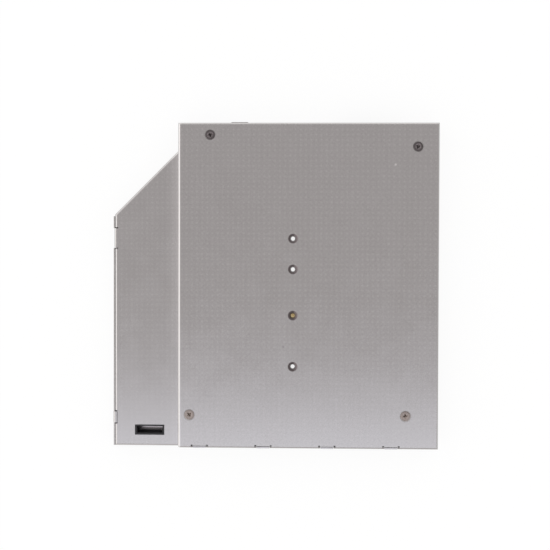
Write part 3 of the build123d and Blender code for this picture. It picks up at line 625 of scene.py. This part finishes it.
def blank_material(name):
    """A material with its Principled shader linked to the output."""
    material = bpy.data.materials.new(name)
    material.use_nodes = True
    tree = material.node_tree
    tree.nodes.clear()
    out = tree.nodes.new("ShaderNodeOutputMaterial")
    shader = tree.nodes.new("ShaderNodeBsdfPrincipled")
    tree.links.new(shader.outputs["BSDF"], out.inputs["Surface"])
    return material, tree, shader


def bumped(tree, height, distance):
    """Normal of a bump, its depth in metres."""
    return put(tree, "ShaderNodeBump", {"Height": height, "Distance": distance}).outputs[0]


def grained(name, colour, finish, wear=0.0, wear_colour=None, stretch=(1.0, 1.0, 1.0), heads=(), rim=1.0,
            recess=1.0):
    """Material of one base colour that grain and mottle shade, with its grain as bump and its edges worn.
    Screw heads at the given places get painted shade: their own shares of the colour at the rim, for the gap
    of the seat, and in the recess."""
    rim_shade_edge, recess_shade_edge, worn_radius = (1.0 * MM, 1.4 * MM), (0.35 * MM, 0.7 * MM), 0.3 * MM
    material, tree, shader = blank_material(name)
    shader.inputs["Metallic"].default_value = finish.metallic
    spots = use_group(tree, grain_group(), {"Grain Scale": 1.0 / (finish.grain * MM),
                                            "Mottle Scale": 1.0 / (finish.mottle * MM), "Stretch": stretch})
    colour_swing = 2.0 * finish.colour_swing
    swing = swung(tree, 1.0, (spots["Mottle"], colour_swing), (spots["Grain"], colour_swing))
    if heads:
        reach = nearest_reach(tree, heads)
        # Painted shade at the head's rim and in its cross recess.
        swing = calc(tree, "MULTIPLY", swing, remap(tree, reach, *rim_shade_edge, 1.0, rim))
        swing = calc(tree, "MULTIPLY", swing, remap(tree, reach, *recess_shade_edge, recess, 1.0))
    shaded = shaded_by(tree, rgba(colour), swing)
    if wear:
        mask = use_group(tree, wear_group(), {"Radius": worn_radius, "Amount": wear})["Mask"]
        shaded = blend_colour(tree, mask, shaded, rgba(wear_colour or colour))
    tree.links.new(shaded, shader.inputs["Base Color"])
    rough_swing = finish.rough_swing * finish.roughness
    rough = swung(tree, finish.roughness, (spots["Grain"], rough_swing), (spots["Mottle"], 2.0 * rough_swing))
    tree.links.new(rough, shader.inputs["Roughness"])
    tree.links.new(bumped(tree, spots["Height"], finish.depth * MM), shader.inputs["Normal"])
    return material


def sheet_material(name, look):
    """Satin rolled sheet: fine grain, faint streaks along the rolling direction, cloudy roughness, rows of
    faint dimples, brighter edges that are partly worn and partly a painted highlight on the bends, painted
    light and a painted highlight at the step, painted shade in the holes' mouths and the screws' seats, a
    painted pool of light on the pocket's floor, and a bright nick and a dark speck."""
    grain_swing, mottle_swing, streak_swing = 0.42, 0.035, 0.04
    grain_rough, mottle_rough, worn_polish = 0.06, 0.10, 0.08
    streak_grain, streak_mottle_scale, streak_height, streak_way = 0.5, 30.0, 0.35, (1.0, 0.03, 1.0)
    edge_wear_and_sheen, edge_radius = 1.45, 0.4 * MM
    material, tree, shader = blank_material(name)
    shader.inputs["Metallic"].default_value = 1.0
    spots = use_group(tree, grain_group(), {
        "Grain Scale": 1.0 / look.grain, "Mottle Scale": 1.0 / look.mottle})
    streaks = use_group(tree, grain_group(), {
        "Grain Scale": streak_grain / look.grain, "Mottle Scale": streak_mottle_scale,
        "Stretch": streak_way})
    dimples = use_group(tree, dimple_group(), {"Pitch": look.dimple_pitch, "Amount": look.dimple_depth})
    worn = use_group(tree, wear_group(), {"Radius": edge_radius, "Amount": look.wear})["Mask"]
    swing = swung(tree, 1.0, (streaks["Grain"], streak_swing), (spots["Mottle"], mottle_swing),
                  (spots["Grain"], grain_swing))
    # Painted light at the step: a band of light on the wing and a highlight on the bend's crest.
    swing = calc(tree, "ADD", swing, calc(tree, "ADD", dimples["Mask"], painted_step_light(tree)))
    shaded = shaded_by(tree, rgba(look.colour), swing)
    nick, speck = small_marks(tree)
    bright = rgba(brighter(look.colour, edge_wear_and_sheen))
    # Brighter edges: worn metal, and partly a painted highlight on the bends.
    edges_worn_and_lit = blend_colour(tree, calc(tree, "MAXIMUM", worn, nick), shaded, bright)
    # Painted shade in the hole mouths and screw seats, and a dark speck, in the ring colour.
    ringed = blend_colour(tree, calc(tree, "MAXIMUM", painted_hole_and_seat_shade(tree), speck), edges_worn_and_lit, rgba(look.ring))
    # Painted light: a bright patch on the cover at the bottom of the clip pocket.
    pocket_lit = blend_colour(tree, painted_pocket_light(tree), ringed, rgba(pocket_light_colour))
    tree.links.new(pocket_lit, shader.inputs["Base Color"])
    rough = swung(tree, look.roughness, (spots["Grain"], grain_rough), (spots["Mottle"], mottle_rough))
    rough = calc(tree, "SUBTRACT", rough, calc(tree, "MULTIPLY", worn, worn_polish))
    tree.links.new(rough, shader.inputs["Roughness"])
    height = swung(tree, spots["Height"], (streaks["Height"], streak_height))
    tree.links.new(bumped(tree, height, look.grain_depth), shader.inputs["Normal"])
    return material


def nearest_reach(tree, places):
    """Distance in plan from the nearest of some places, in metres."""
    where = object_place(tree)
    nearest = None
    for x, y in places:
        across = calc(tree, "SUBTRACT", where[0], x * MM)
        along = calc(tree, "SUBTRACT", where[1], y * MM)
        squared = calc(tree, "MULTIPLY_ADD", along, along, calc(tree, "MULTIPLY", across, across))
        reach = calc(tree, "SQRT", squared)
        nearest = reach if nearest is None else calc(tree, "MINIMUM", nearest, reach)
    return nearest


def marked(tree, mark):
    """Mask of a mark: nothing from where it ends, and its strength from where it is full."""
    reach = nearest_reach(tree, mark.places)
    return remap(tree, reach, mark.ends * MM, mark.full * MM, 0.0, mark.strength)


def painted_hole_and_seat_shade(tree):
    """Mask of painted shade: dark rings in the mouths of the drawn-in card holes, and a part of it round the
    screw heads in their seats.
    """
    seats = calc(tree, "MAXIMUM", marked(tree, rear_seat_shade_mark), marked(tree, front_seat_shade_mark))
    return calc(tree, "MAXIMUM", seats, marked(tree, hole_shade_mark))


def painted_step_light(tree):
    """Painted light that brightens the sheet at the step: a band on the wing, as a power of the nearness to
    the step, which fades towards the front, stands for light thrown from the step's wall, and a painted
    highlight lies on the crest of the bend."""
    band_width, band_power, band_front, band_rear = 7.0, 2.2, 0.06, 0.30
    front_y, rear_y = -45.0, 10.0
    crest_ends, crest_full, crest_highlight_share = 1.3, 0.9, 0.24
    x, y, z = object_place(tree)
    near = remap(tree, x, (step_x - band_width) * MM, step_x * MM, ease="LINEAR")
    band = calc(tree, "POWER", near, band_power)
    on_wing = calc(tree, "MULTIPLY", band, calc(tree, "LESS_THAN", x, step_x * MM))
    fade = remap(tree, y, front_y * MM, rear_y * MM, band_front, band_rear, "LINEAR")
    crest = calc(tree, "MULTIPLY", calc(tree, "GREATER_THAN", z, step_crest_low * MM),
                 remap(tree, x, (step_x + crest_ends) * MM, (step_x + crest_full) * MM, 0.0, crest_highlight_share))
    return calc(tree, "MAXIMUM", calc(tree, "MULTIPLY", on_wing, fade), crest)


def small_marks(tree):
    """Masks of a bright nick and of a dark speck on the faces that look up."""
    least_upward = 0.9
    level = calc(tree, "GREATER_THAN", upward(tree), least_upward)
    return [calc(tree, "MULTIPLY", level, marked(tree, mark)) for mark in (nick_mark, speck_mark)]


def painted_pocket_light(tree):
    """Mask of painted light: the cover's bright patch at the bottom of the clip pocket, where light falls in.
    """
    where = object_place(tree)
    low, high = (np.array(corner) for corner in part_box("bezel_clip_block"))
    low[2], high[2] = pocket_floor_low * MM, pocket_floor_high * MM
    middle, half = 0.5 * (low + high), 0.5 * (high - low)
    mask = None
    for axis in range(3):
        away = calc(tree, "ABSOLUTE", calc(tree, "SUBTRACT", where[axis], middle[axis]))
        inside = calc(tree, "LESS_THAN", away, half[axis])
        mask = inside if mask is None else calc(tree, "MULTIPLY", mask, inside)
    return mask


def row_place(tree, row):
    """Distance along X from the nearest place of a row, in metres."""
    from_first = calc(tree, "SUBTRACT", object_place(tree)[0], row.first * MM)
    shifted = calc(tree, "DIVIDE", from_first, row.pitch * MM)
    off = calc(tree, "SUBTRACT", shifted, calc(tree, "ROUND", shifted))
    return calc(tree, "MULTIPLY", off, row.pitch * MM)


def chip_material(name, colour, end_colour, row, metal_ends=True):
    """Small chip with metal ends, or a body with a band at one end, masked by the place along its row."""
    grain_scale, mottle_scale, grain_swing, mottle_swing = 6000.0, 900.0, 0.3, 0.5
    roughness, grain_depth = 0.45, 0.01 * MM
    material, tree, shader = blank_material(name)
    off = row_place(tree, row)
    reach = calc(tree, "ABSOLUTE", off) if metal_ends else off
    mask = calc(tree, "GREATER_THAN", reach, (row.half - row.end) * MM)
    spots = use_group(tree, grain_group(), {"Grain Scale": grain_scale, "Mottle Scale": mottle_scale})
    swing = swung(tree, 1.0, (spots["Grain"], grain_swing), (spots["Mottle"], mottle_swing))
    plain = blend_colour(tree, mask, rgba(colour), rgba(end_colour))
    tree.links.new(shaded_by(tree, plain, swing), shader.inputs["Base Color"])
    if metal_ends:
        tree.links.new(mask, shader.inputs["Metallic"])
    rough = swung(tree, roughness, (spots["Grain"], grain_swing))
    tree.links.new(rough, shader.inputs["Roughness"])
    tree.links.new(bumped(tree, spots["Height"], grain_depth), shader.inputs["Normal"])
    return material


def board_material(look, tin):
    """Solder mask over copper: lighter tracks in bent lanes, round pads with a hole's dark middle, a fine
    weave that shows through, and bare glass fibre on the cut edges."""
    drift_scale, drift_reach, lane_pitch = 160.0, 0.004, 1.1 * MM
    track_edge, pad_edge, hole_edge, side_edge = (0.10, 0.14), (0.14, 0.17), (0.05, 0.07), (0.5, 0.4)
    pad_scale, pad_scatter, track_light, track_lift = 330.0, 0.6, 1.9, 0.01
    fibre_scale, fibre_bend, fibre_share, fibre_height = 900.0, 1.5, 0.12, 0.2
    fibre_colour, hole_colour, cut_colour = (0.0, 0.05, 0.02), (0.01, 0.01, 0.01), (0.42, 0.37, 0.20)
    mask_roughness, cut_roughness, track_depth = 0.28, 0.8, 0.03 * MM
    material, tree, shader = blank_material("Board")
    where = put(tree, "ShaderNodeTexCoord").outputs["Object"]
    drift = put(tree, "ShaderNodeTexVoronoi", {"Vector": where, "Scale": drift_scale}, feature="F1")
    jump = calc(tree, "MULTIPLY", drift.outputs["Color"], drift_reach)
    lane = calc(tree, "DIVIDE", calc(tree, "ADD", object_place(tree)[0], jump), lane_pitch)
    wave = calc(tree, "ABSOLUTE", calc(tree, "SUBTRACT", calc(tree, "FRACT", lane), 0.5))
    track = remap(tree, wave, *track_edge, 1.0, 0.0)
    pads = put(tree, "ShaderNodeTexVoronoi", {"Vector": where, "Scale": pad_scale, "Randomness": pad_scatter},
               feature="F1").outputs["Distance"]
    pad = remap(tree, pads, *pad_edge, 1.0, 0.0)
    hole = remap(tree, pads, *hole_edge, 1.0, 0.0)
    fibre = put(tree, "ShaderNodeTexWave", {"Vector": where, "Scale": fibre_scale, "Distortion": fibre_bend},
                wave_type="BANDS", bands_direction="DIAGONAL").outputs["Fac"]
    track_colour = brighter(look.board, track_light, track_lift)
    masked = blend_colour(tree, track, rgba(look.board), rgba(track_colour))
    woven = blend_colour(tree, calc(tree, "MULTIPLY", fibre, fibre_share), masked, rgba(fibre_colour))
    ringed = blend_colour(tree, pad, woven, rgba(tin))
    holed = blend_colour(tree, hole, ringed, rgba(hole_colour))
    side = remap(tree, calc(tree, "ABSOLUTE", upward(tree, "Normal")), *side_edge)
    tree.links.new(blend_colour(tree, side, holed, rgba(cut_colour)), shader.inputs["Base Color"])
    metal = calc(tree, "MULTIPLY", calc(tree, "SUBTRACT", pad, hole), calc(tree, "SUBTRACT", 1.0, side))
    tree.links.new(calc(tree, "MAXIMUM", metal, 0.0), shader.inputs["Metallic"])
    tree.links.new(remap(tree, side, 0.0, 1.0, mask_roughness, cut_roughness), shader.inputs["Roughness"])
    raised = calc(tree, "ADD", track, calc(tree, "MULTIPLY", fibre, fibre_height))
    tree.links.new(bumped(tree, raised, track_depth), shader.inputs["Normal"])
    return material


# Operators

class CADDY_OT_sheets(bpy.types.Operator):
    """Finishes the stepped case and the flat cover as satin rolled sheet"""
    bl_idname = "caddy.sheets"
    bl_label = "Finish the case and cover"

    def execute(self, context):
        look = context.scene.caddy_sheet
        dress("stepped_case", sheet_material("Stepped sheet", look))
        dress("flat_cover", sheet_material("Cover sheet", look))
        return {"FINISHED"}


class CADDY_OT_case_screws(bpy.types.Operator):
    """Builds the four countersunk cross-head screws with their threads"""
    bl_idname = "caddy.case_screws"
    bl_label = "Countersunk screws"

    def execute(self, context):
        look = context.scene.caddy_metals
        # The rim and recess shares paint shade on the heads: at the rim for the seat's gap, and in the cross
        # recess.
        self.build_pair(context, "rear", look.screw, rear_screw_places, rim=0.55, recess=0.45)
        # Painted reflection: the front screws' lighter colour stands for the bright front they reflect.
        self.build_pair(context, "front", look.front_screw_lit, front_screw_places, rim=0.88, recess=0.70)
        return {"FINISHED"}

    def build_pair(self, context, end, colour, places, rim, recess):
        """Builds the two screws of one end, with the shares of their colour that paint shade at the rim and
        in the recess.
        """
        sizes = context.scene.caddy_screws
        head, shank = mm(sizes.head_radius), mm(sizes.shank_radius)
        skins = []
        for x, y, angle in places:
            grid = cross_screw(
                head=head, shank=shank, top=case_screw_top, tip=case_screw_tip,
                neck=case_screw_top - head + shank, pitch=mm(sizes.pitch), cut=mm(sizes.thread_depth),
                reach=mm(sizes.recess_radius), slot=mm(sizes.recess_slot), depth=mm(sizes.recess_depth),
                angle=math.radians(angle), dome=0.0)
            skins.append(closed_skin(moved(grid, x, y)))
        material = grained("Zinc screw, " + end, colour, zinc_finish, wear=0.5,
                           wear_colour=brighter(colour, 1.8), heads=[spot[:2] for spot in places], rim=rim,
                           recess=recess)
        place("case_screws_" + end, skins, material, ["case_screws"])


class CADDY_OT_card_fixings(bpy.types.Operator):
    """Builds the brass standoff in the third hole and the screw that holds a card on it"""
    bl_idname = "caddy.card_fixings"
    bl_label = "Standoff and card screw"

    def execute(self, context):
        sizes, look = context.scene.caddy_screws, context.scene.caddy_metals
        brass = grained("Turned brass", look.brass, brass_finish, wear=0.4,
                        wear_colour=brighter(look.brass, 1.25), stretch=(0.15, 0.15, 3.0))
        place("standoff_turned", [closed_skin(standoff_grid())], brass, ["card_standoff"])
        grid = cross_screw(
            head=mm(sizes.card_head_radius), shank=mm(sizes.card_shank_radius), top=0.9, tip=-2.4, neck=0.0,
            pitch=mm(sizes.pitch), cut=0.12, reach=1.0, slot=0.45, depth=0.5, angle=0.4, dome=0.12)
        head_down = grid * np.array([1.0, 1.0, -1.0])
        steel = grained("Zinc card screw", look.screw, card_screw_finish, wear=0.5,
                        wear_colour=brighter(look.screw, 1.8))
        skin = closed_skin(moved(head_down, card_line_x, fitted_hole_y, standoff_low))
        place("card_screw_cross_head", [skin], steel, ["card_screw"])
        return {"FINISHED"}


class CADDY_OT_hole_threads(bpy.types.Operator):
    """Cuts the threads in the free card holes and in the bracket holes of the rear wall"""
    bl_idname = "caddy.hole_threads"
    bl_label = "Threads in the holes"

    def execute(self, context):
        sizes, look = context.scene.caddy_holes, context.scene.caddy_sheet
        burr_gap, cut_light = 0.02, 0.92
        radius, ridge, pitch = mm(sizes.bore_radius), mm(sizes.ridge), mm(sizes.pitch)
        upright = thread_ring(radius, ridge, pitch, burr_low + burr_gap, burr_high)
        lying = thread_ring(radius, ridge, pitch, bracket_thread_start, bracket_thread_end)[..., [0, 2, 1]]
        skins = [ring_skin(moved(upright, card_line_x, y)) for y in free_hole_places]
        skins += [ring_skin(moved(lying, x=x, z=bracket_hole_z)) for x in bracket_hole_places]
        material = grained("Cut sheet", brighter(look.colour, cut_light), cut_sheet_finish)
        place("card_hole_threads", skins, material)
        return {"FINISHED"}


class CADDY_OT_posts(bpy.types.Operator):
    """Finishes the posts and the spacers as plated turned steel"""
    bl_idname = "caddy.posts"
    bl_label = "Finish the posts"

    def execute(self, context):
        look = context.scene.caddy_metals
        material = grained("Plated post", look.post, post_finish, wear=0.4,
                           wear_colour=brighter(look.post, 1.3), stretch=(0.2, 0.2, 3.0))
        for node in ("front_posts", "rear_posts", "board_spacers"):
            dress(node, material)
        return {"FINISHED"}


class CADDY_OT_plastics(bpy.types.Operator):
    """Finishes the clip block, the plug, the socket and the regulator as moulded black plastic"""
    bl_idname = "caddy.plastics"
    bl_label = "Finish the plastics"

    def execute(self, context):
        look = context.scene.caddy_moulded
        worn = brighter(look.plastic, 3.0, 0.02)
        block = grained("Clip block plastic", brighter(look.plastic, 1.5), clip_block_finish, wear=0.5,
                        wear_colour=worn)
        fine = grained("Connector plastic", look.plastic, connector_finish, wear=0.3, wear_colour=worn)
        moulded = grained("Regulator moulding", look.plastic, regulator_finish, wear=0.3, wear_colour=worn)
        dress("bezel_clip_block", block)
        dress("drive_plug_body", fine)
        dress("card_socket_body", fine)
        dress("voltage_regulator", moulded)
        return {"FINISHED"}


class CADDY_OT_contacts(bpy.types.Operator):
    """Finishes the contacts in gold and the nails and leads in tin"""
    bl_idname = "caddy.contacts"
    bl_label = "Finish contacts and leads"

    def execute(self, context):
        look = context.scene.caddy_metals
        gold = grained("Gold flash", look.gold, gold_finish)
        tin = grained("Tinned", look.tin, tin_finish)
        for node in ("drive_plug_contacts", "card_socket_contacts"):
            dress(node, gold)
        for node in ("drive_plug_nails", "card_socket_nails", "regulator_leads"):
            dress(node, tin)
        return {"FINISHED"}


class CADDY_OT_solder(bpy.types.Operator):
    """Builds the solder round the connectors' nails"""
    bl_idname = "caddy.solder"
    bl_label = "Solder"

    def execute(self, context):
        foot_in, foot_half = 0.55, 0.5
        skins = []
        for node in ("drive_plug_nails", "card_socket_nails"):
            low, high = (np.array(corner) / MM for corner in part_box(node))
            middle_y, half_y = 0.5 * (low[1] + high[1]), 0.5 * (high[1] - low[1])
            for foot_x in (low[0] + foot_in, high[0] - foot_in):
                skins.append(solder_skin(foot_x, middle_y, foot_half, half_y))
        tin = grained("Solder", context.scene.caddy_metals.tin, solder_finish)
        place("nail_solder", skins, tin)
        return {"FINISHED"}


class CADDY_OT_board(bpy.types.Operator):
    """Finishes the board, the film and the small parts on the board"""
    bl_idname = "caddy.board"
    bl_label = "Finish the board"

    def execute(self, context):
        look, metals = context.scene.caddy_moulded, context.scene.caddy_metals
        dress("adapter_board", board_material(look, metals.tin))
        dress("insulation_film", grained("Film", look.film, film_finish))
        dress("power_inductor", grained("Ferrite", look.ferrite, ferrite_finish, wear=0.4,
                                        wear_colour=ferrite_wear_colour))
        dress("tantalum_capacitors", chip_material("Tantalum", look.tantalum, look.band, tantalum_row,
                                                   metal_ends=False))
        dress("ceramic_capacitors", chip_material("Ceramic", look.ceramic, metals.tin, ceramic_row))
        dress("chip_resistors", chip_material("Resistor", look.resistor, metals.tin, resistor_row))
        dress("activity_light", chip_material("Light lens", look.lens, metals.tin, light_row))
        return {"FINISHED"}


class CADDY_OT_stage(bpy.types.Operator):
    """Sets the floor, the studio light round the caddy and the camera above it"""
    bl_idname = "caddy.stage"
    bl_label = "Floor, light and camera"

    def execute(self, context):
        look = context.scene.caddy_light
        context.scene.view_settings.view_transform = "Standard"
        self.build_floor(context, look)
        self.build_world(context, look)
        self.build_camera(context)
        return {"FINISHED"}

    def build_floor(self, context, look):
        """A wide flat floor just below the caddy."""
        mesh = bpy.data.meshes.new("floor")
        low = cad_box[0][2] - floor_gap
        corners = [(-1, -1), (1, -1), (1, 1), (-1, 1)]
        mesh.from_pydata([(x * floor_reach, y * floor_reach, low) for x, y in corners], [], [(0, 1, 2, 3)])
        floor = bpy.data.objects.new("floor", mesh)
        context.scene.collection.objects.link(floor)
        mesh.materials.append(self.floor_material(look))

    def floor_material(self, look):
        """Pale floor that takes the caddy's shadow, glows only where it is seen, and is clear from below."""
        floor_roughness, cloud_swing = 0.9, 0.02
        material, tree, shader = blank_material("Pale floor")
        shader.inputs["Roughness"].default_value = floor_roughness
        shader.inputs["Specular IOR Level"].default_value = 0.0
        shader.inputs["Emission Color"].default_value = white
        spots = use_group(tree, grain_group(), {"Grain Scale": 300.0, "Mottle Scale": 8.0})
        swing = swung(tree, 1.0, (spots["Mottle"], cloud_swing))
        tree.links.new(shaded_by(tree, rgba(look.floor_colour), swing), shader.inputs["Base Color"])
        rays = put(tree, "ShaderNodeLightPath").outputs
        seen = calc(tree, "MAXIMUM", rays["Is Camera Ray"],
                    calc(tree, "MAXIMUM", rays["Is Glossy Ray"], rays["Is Transmission Ray"]))
        tree.links.new(calc(tree, "MULTIPLY", seen, look.floor_glow), shader.inputs["Emission Strength"])
        below = put(tree, "ShaderNodeNewGeometry").outputs["Backfacing"]
        clear = put(tree, "ShaderNodeBsdfTransparent")
        mixed = put(tree, "ShaderNodeMixShader", {0: below, 1: shader.outputs[0], 2: clear.outputs[0]})
        out = next(node for node in tree.nodes if node.type == "OUTPUT_MATERIAL")
        tree.links.new(mixed.outputs[0], out.inputs["Surface"])
        return material

    def build_world(self, context, look):
        """Overhead light with a soft panel in front of it, a strong light to the left and the rear, and a
        weak one elsewhere, seen by reflections only. The camera sees white, and the rest gets plain light."""
        world = bpy.data.worlds.new("Studio")
        world.use_nodes = True
        context.scene.world = world
        tree = world.node_tree
        tree.nodes.clear()
        way = put(tree, "ShaderNodeTexCoord").outputs["Generated"]
        x, y, z = put(tree, "ShaderNodeSeparateXYZ", {0: way}).outputs

        def lean(across, edges, start=0.0, end=1.0):
            """A ramp over the angle off straight up, towards one side."""
            angle = calc(tree, "ARCTAN2", across, z)
            return remap(tree, angle, math.radians(edges[0]), math.radians(edges[1]), start, end)

        ahead = calc(tree, "MULTIPLY", y, -1.0)
        leftward = calc(tree, "MULTIPLY", x, -1.0)
        panel = calc(tree, "MULTIPLY", lean(ahead, panel_rise), lean(ahead, panel_fall, 1.0, 0.0))
        studio = blend_colour(tree, panel, rgba(look.overhead), shone(look.front_panel, look.front_strength))
        studio = blend_colour(tree, remap(tree, z, *far_heights), studio, shone(far_tone, look.far_strength))
        left = calc(tree, "MULTIPLY", lean(leftward, left_rise), remap(tree, y, *left_fade, 1.0, left_kept))
        beside = calc(tree, "MAXIMUM", left, lean(y, rear_rise))
        beside = calc(tree, "MULTIPLY", beside, remap(tree, z, *horizon_fade))
        studio = blend_colour(tree, beside, studio, shone(side_tone, look.side_strength))
        rays = put(tree, "ShaderNodeLightPath").outputs
        lit = blend_colour(tree, rays["Is Glossy Ray"], rgba(look.room), studio)
        seen = calc(tree, "MAXIMUM", rays["Is Camera Ray"], rays["Is Transmission Ray"])
        shown = blend_colour(tree, seen, lit, white)
        light = put(tree, "ShaderNodeBackground", {"Color": shown, "Strength": 1.0})
        out = tree.nodes.new("ShaderNodeOutputWorld")
        tree.links.new(light.outputs[0], out.inputs["Surface"])

    def build_camera(self, context):
        """A camera about 400 mm above the main plate."""
        data = bpy.data.cameras.new("camera")
        data.lens = camera_lens
        data.sensor_width = camera_sensor
        data.clip_start = 0.01
        camera = bpy.data.objects.new("camera", data)
        camera.location = camera_place
        camera.rotation_euler = [math.radians(angle) for angle in camera_turn]
        context.scene.collection.objects.link(camera)
        context.scene.camera = camera


class CADDY_PT_panel(bpy.types.Panel):
    """Lists the caddy's steps in the sidebar"""
    bl_idname = "CADDY_PT_panel"
    bl_label = "Drive caddy"
    bl_space_type = "VIEW_3D"
    bl_region_type = "UI"
    bl_category = "Caddy"

    def draw(self, context):
        for step in steps:
            self.layout.operator(step.bl_idname)


property_groups = {
    "caddy_sheet": SheetFinish,
    "caddy_metals": MetalFinish,
    "caddy_moulded": MouldedFinish,
    "caddy_screws": ScrewSizes,
    "caddy_holes": HoleSizes,
    "caddy_light": StudioLight,
}
steps = (
    CADDY_OT_sheets, CADDY_OT_case_screws, CADDY_OT_card_fixings, CADDY_OT_hole_threads, CADDY_OT_posts,
    CADDY_OT_plastics, CADDY_OT_contacts, CADDY_OT_solder, CADDY_OT_board, CADDY_OT_stage,
)


def register():
    for name, kind in property_groups.items():
        bpy.utils.register_class(kind)
        setattr(bpy.types.Scene, name, bpy.props.PointerProperty(type=kind))
    for kind in steps + (CADDY_PT_panel,):
        bpy.utils.register_class(kind)


def unregister():
    for kind in (CADDY_PT_panel,) + steps[::-1]:
        bpy.utils.unregister_class(kind)
    for name, kind in property_groups.items():
        delattr(bpy.types.Scene, name)
        bpy.utils.unregister_class(kind)


def main():
    """Registers the add-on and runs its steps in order."""
    register()
    for step in steps:
        group, name = step.bl_idname.split(".")
        getattr(getattr(bpy.ops, group), name)()


if __name__ == "__main__":
    main()
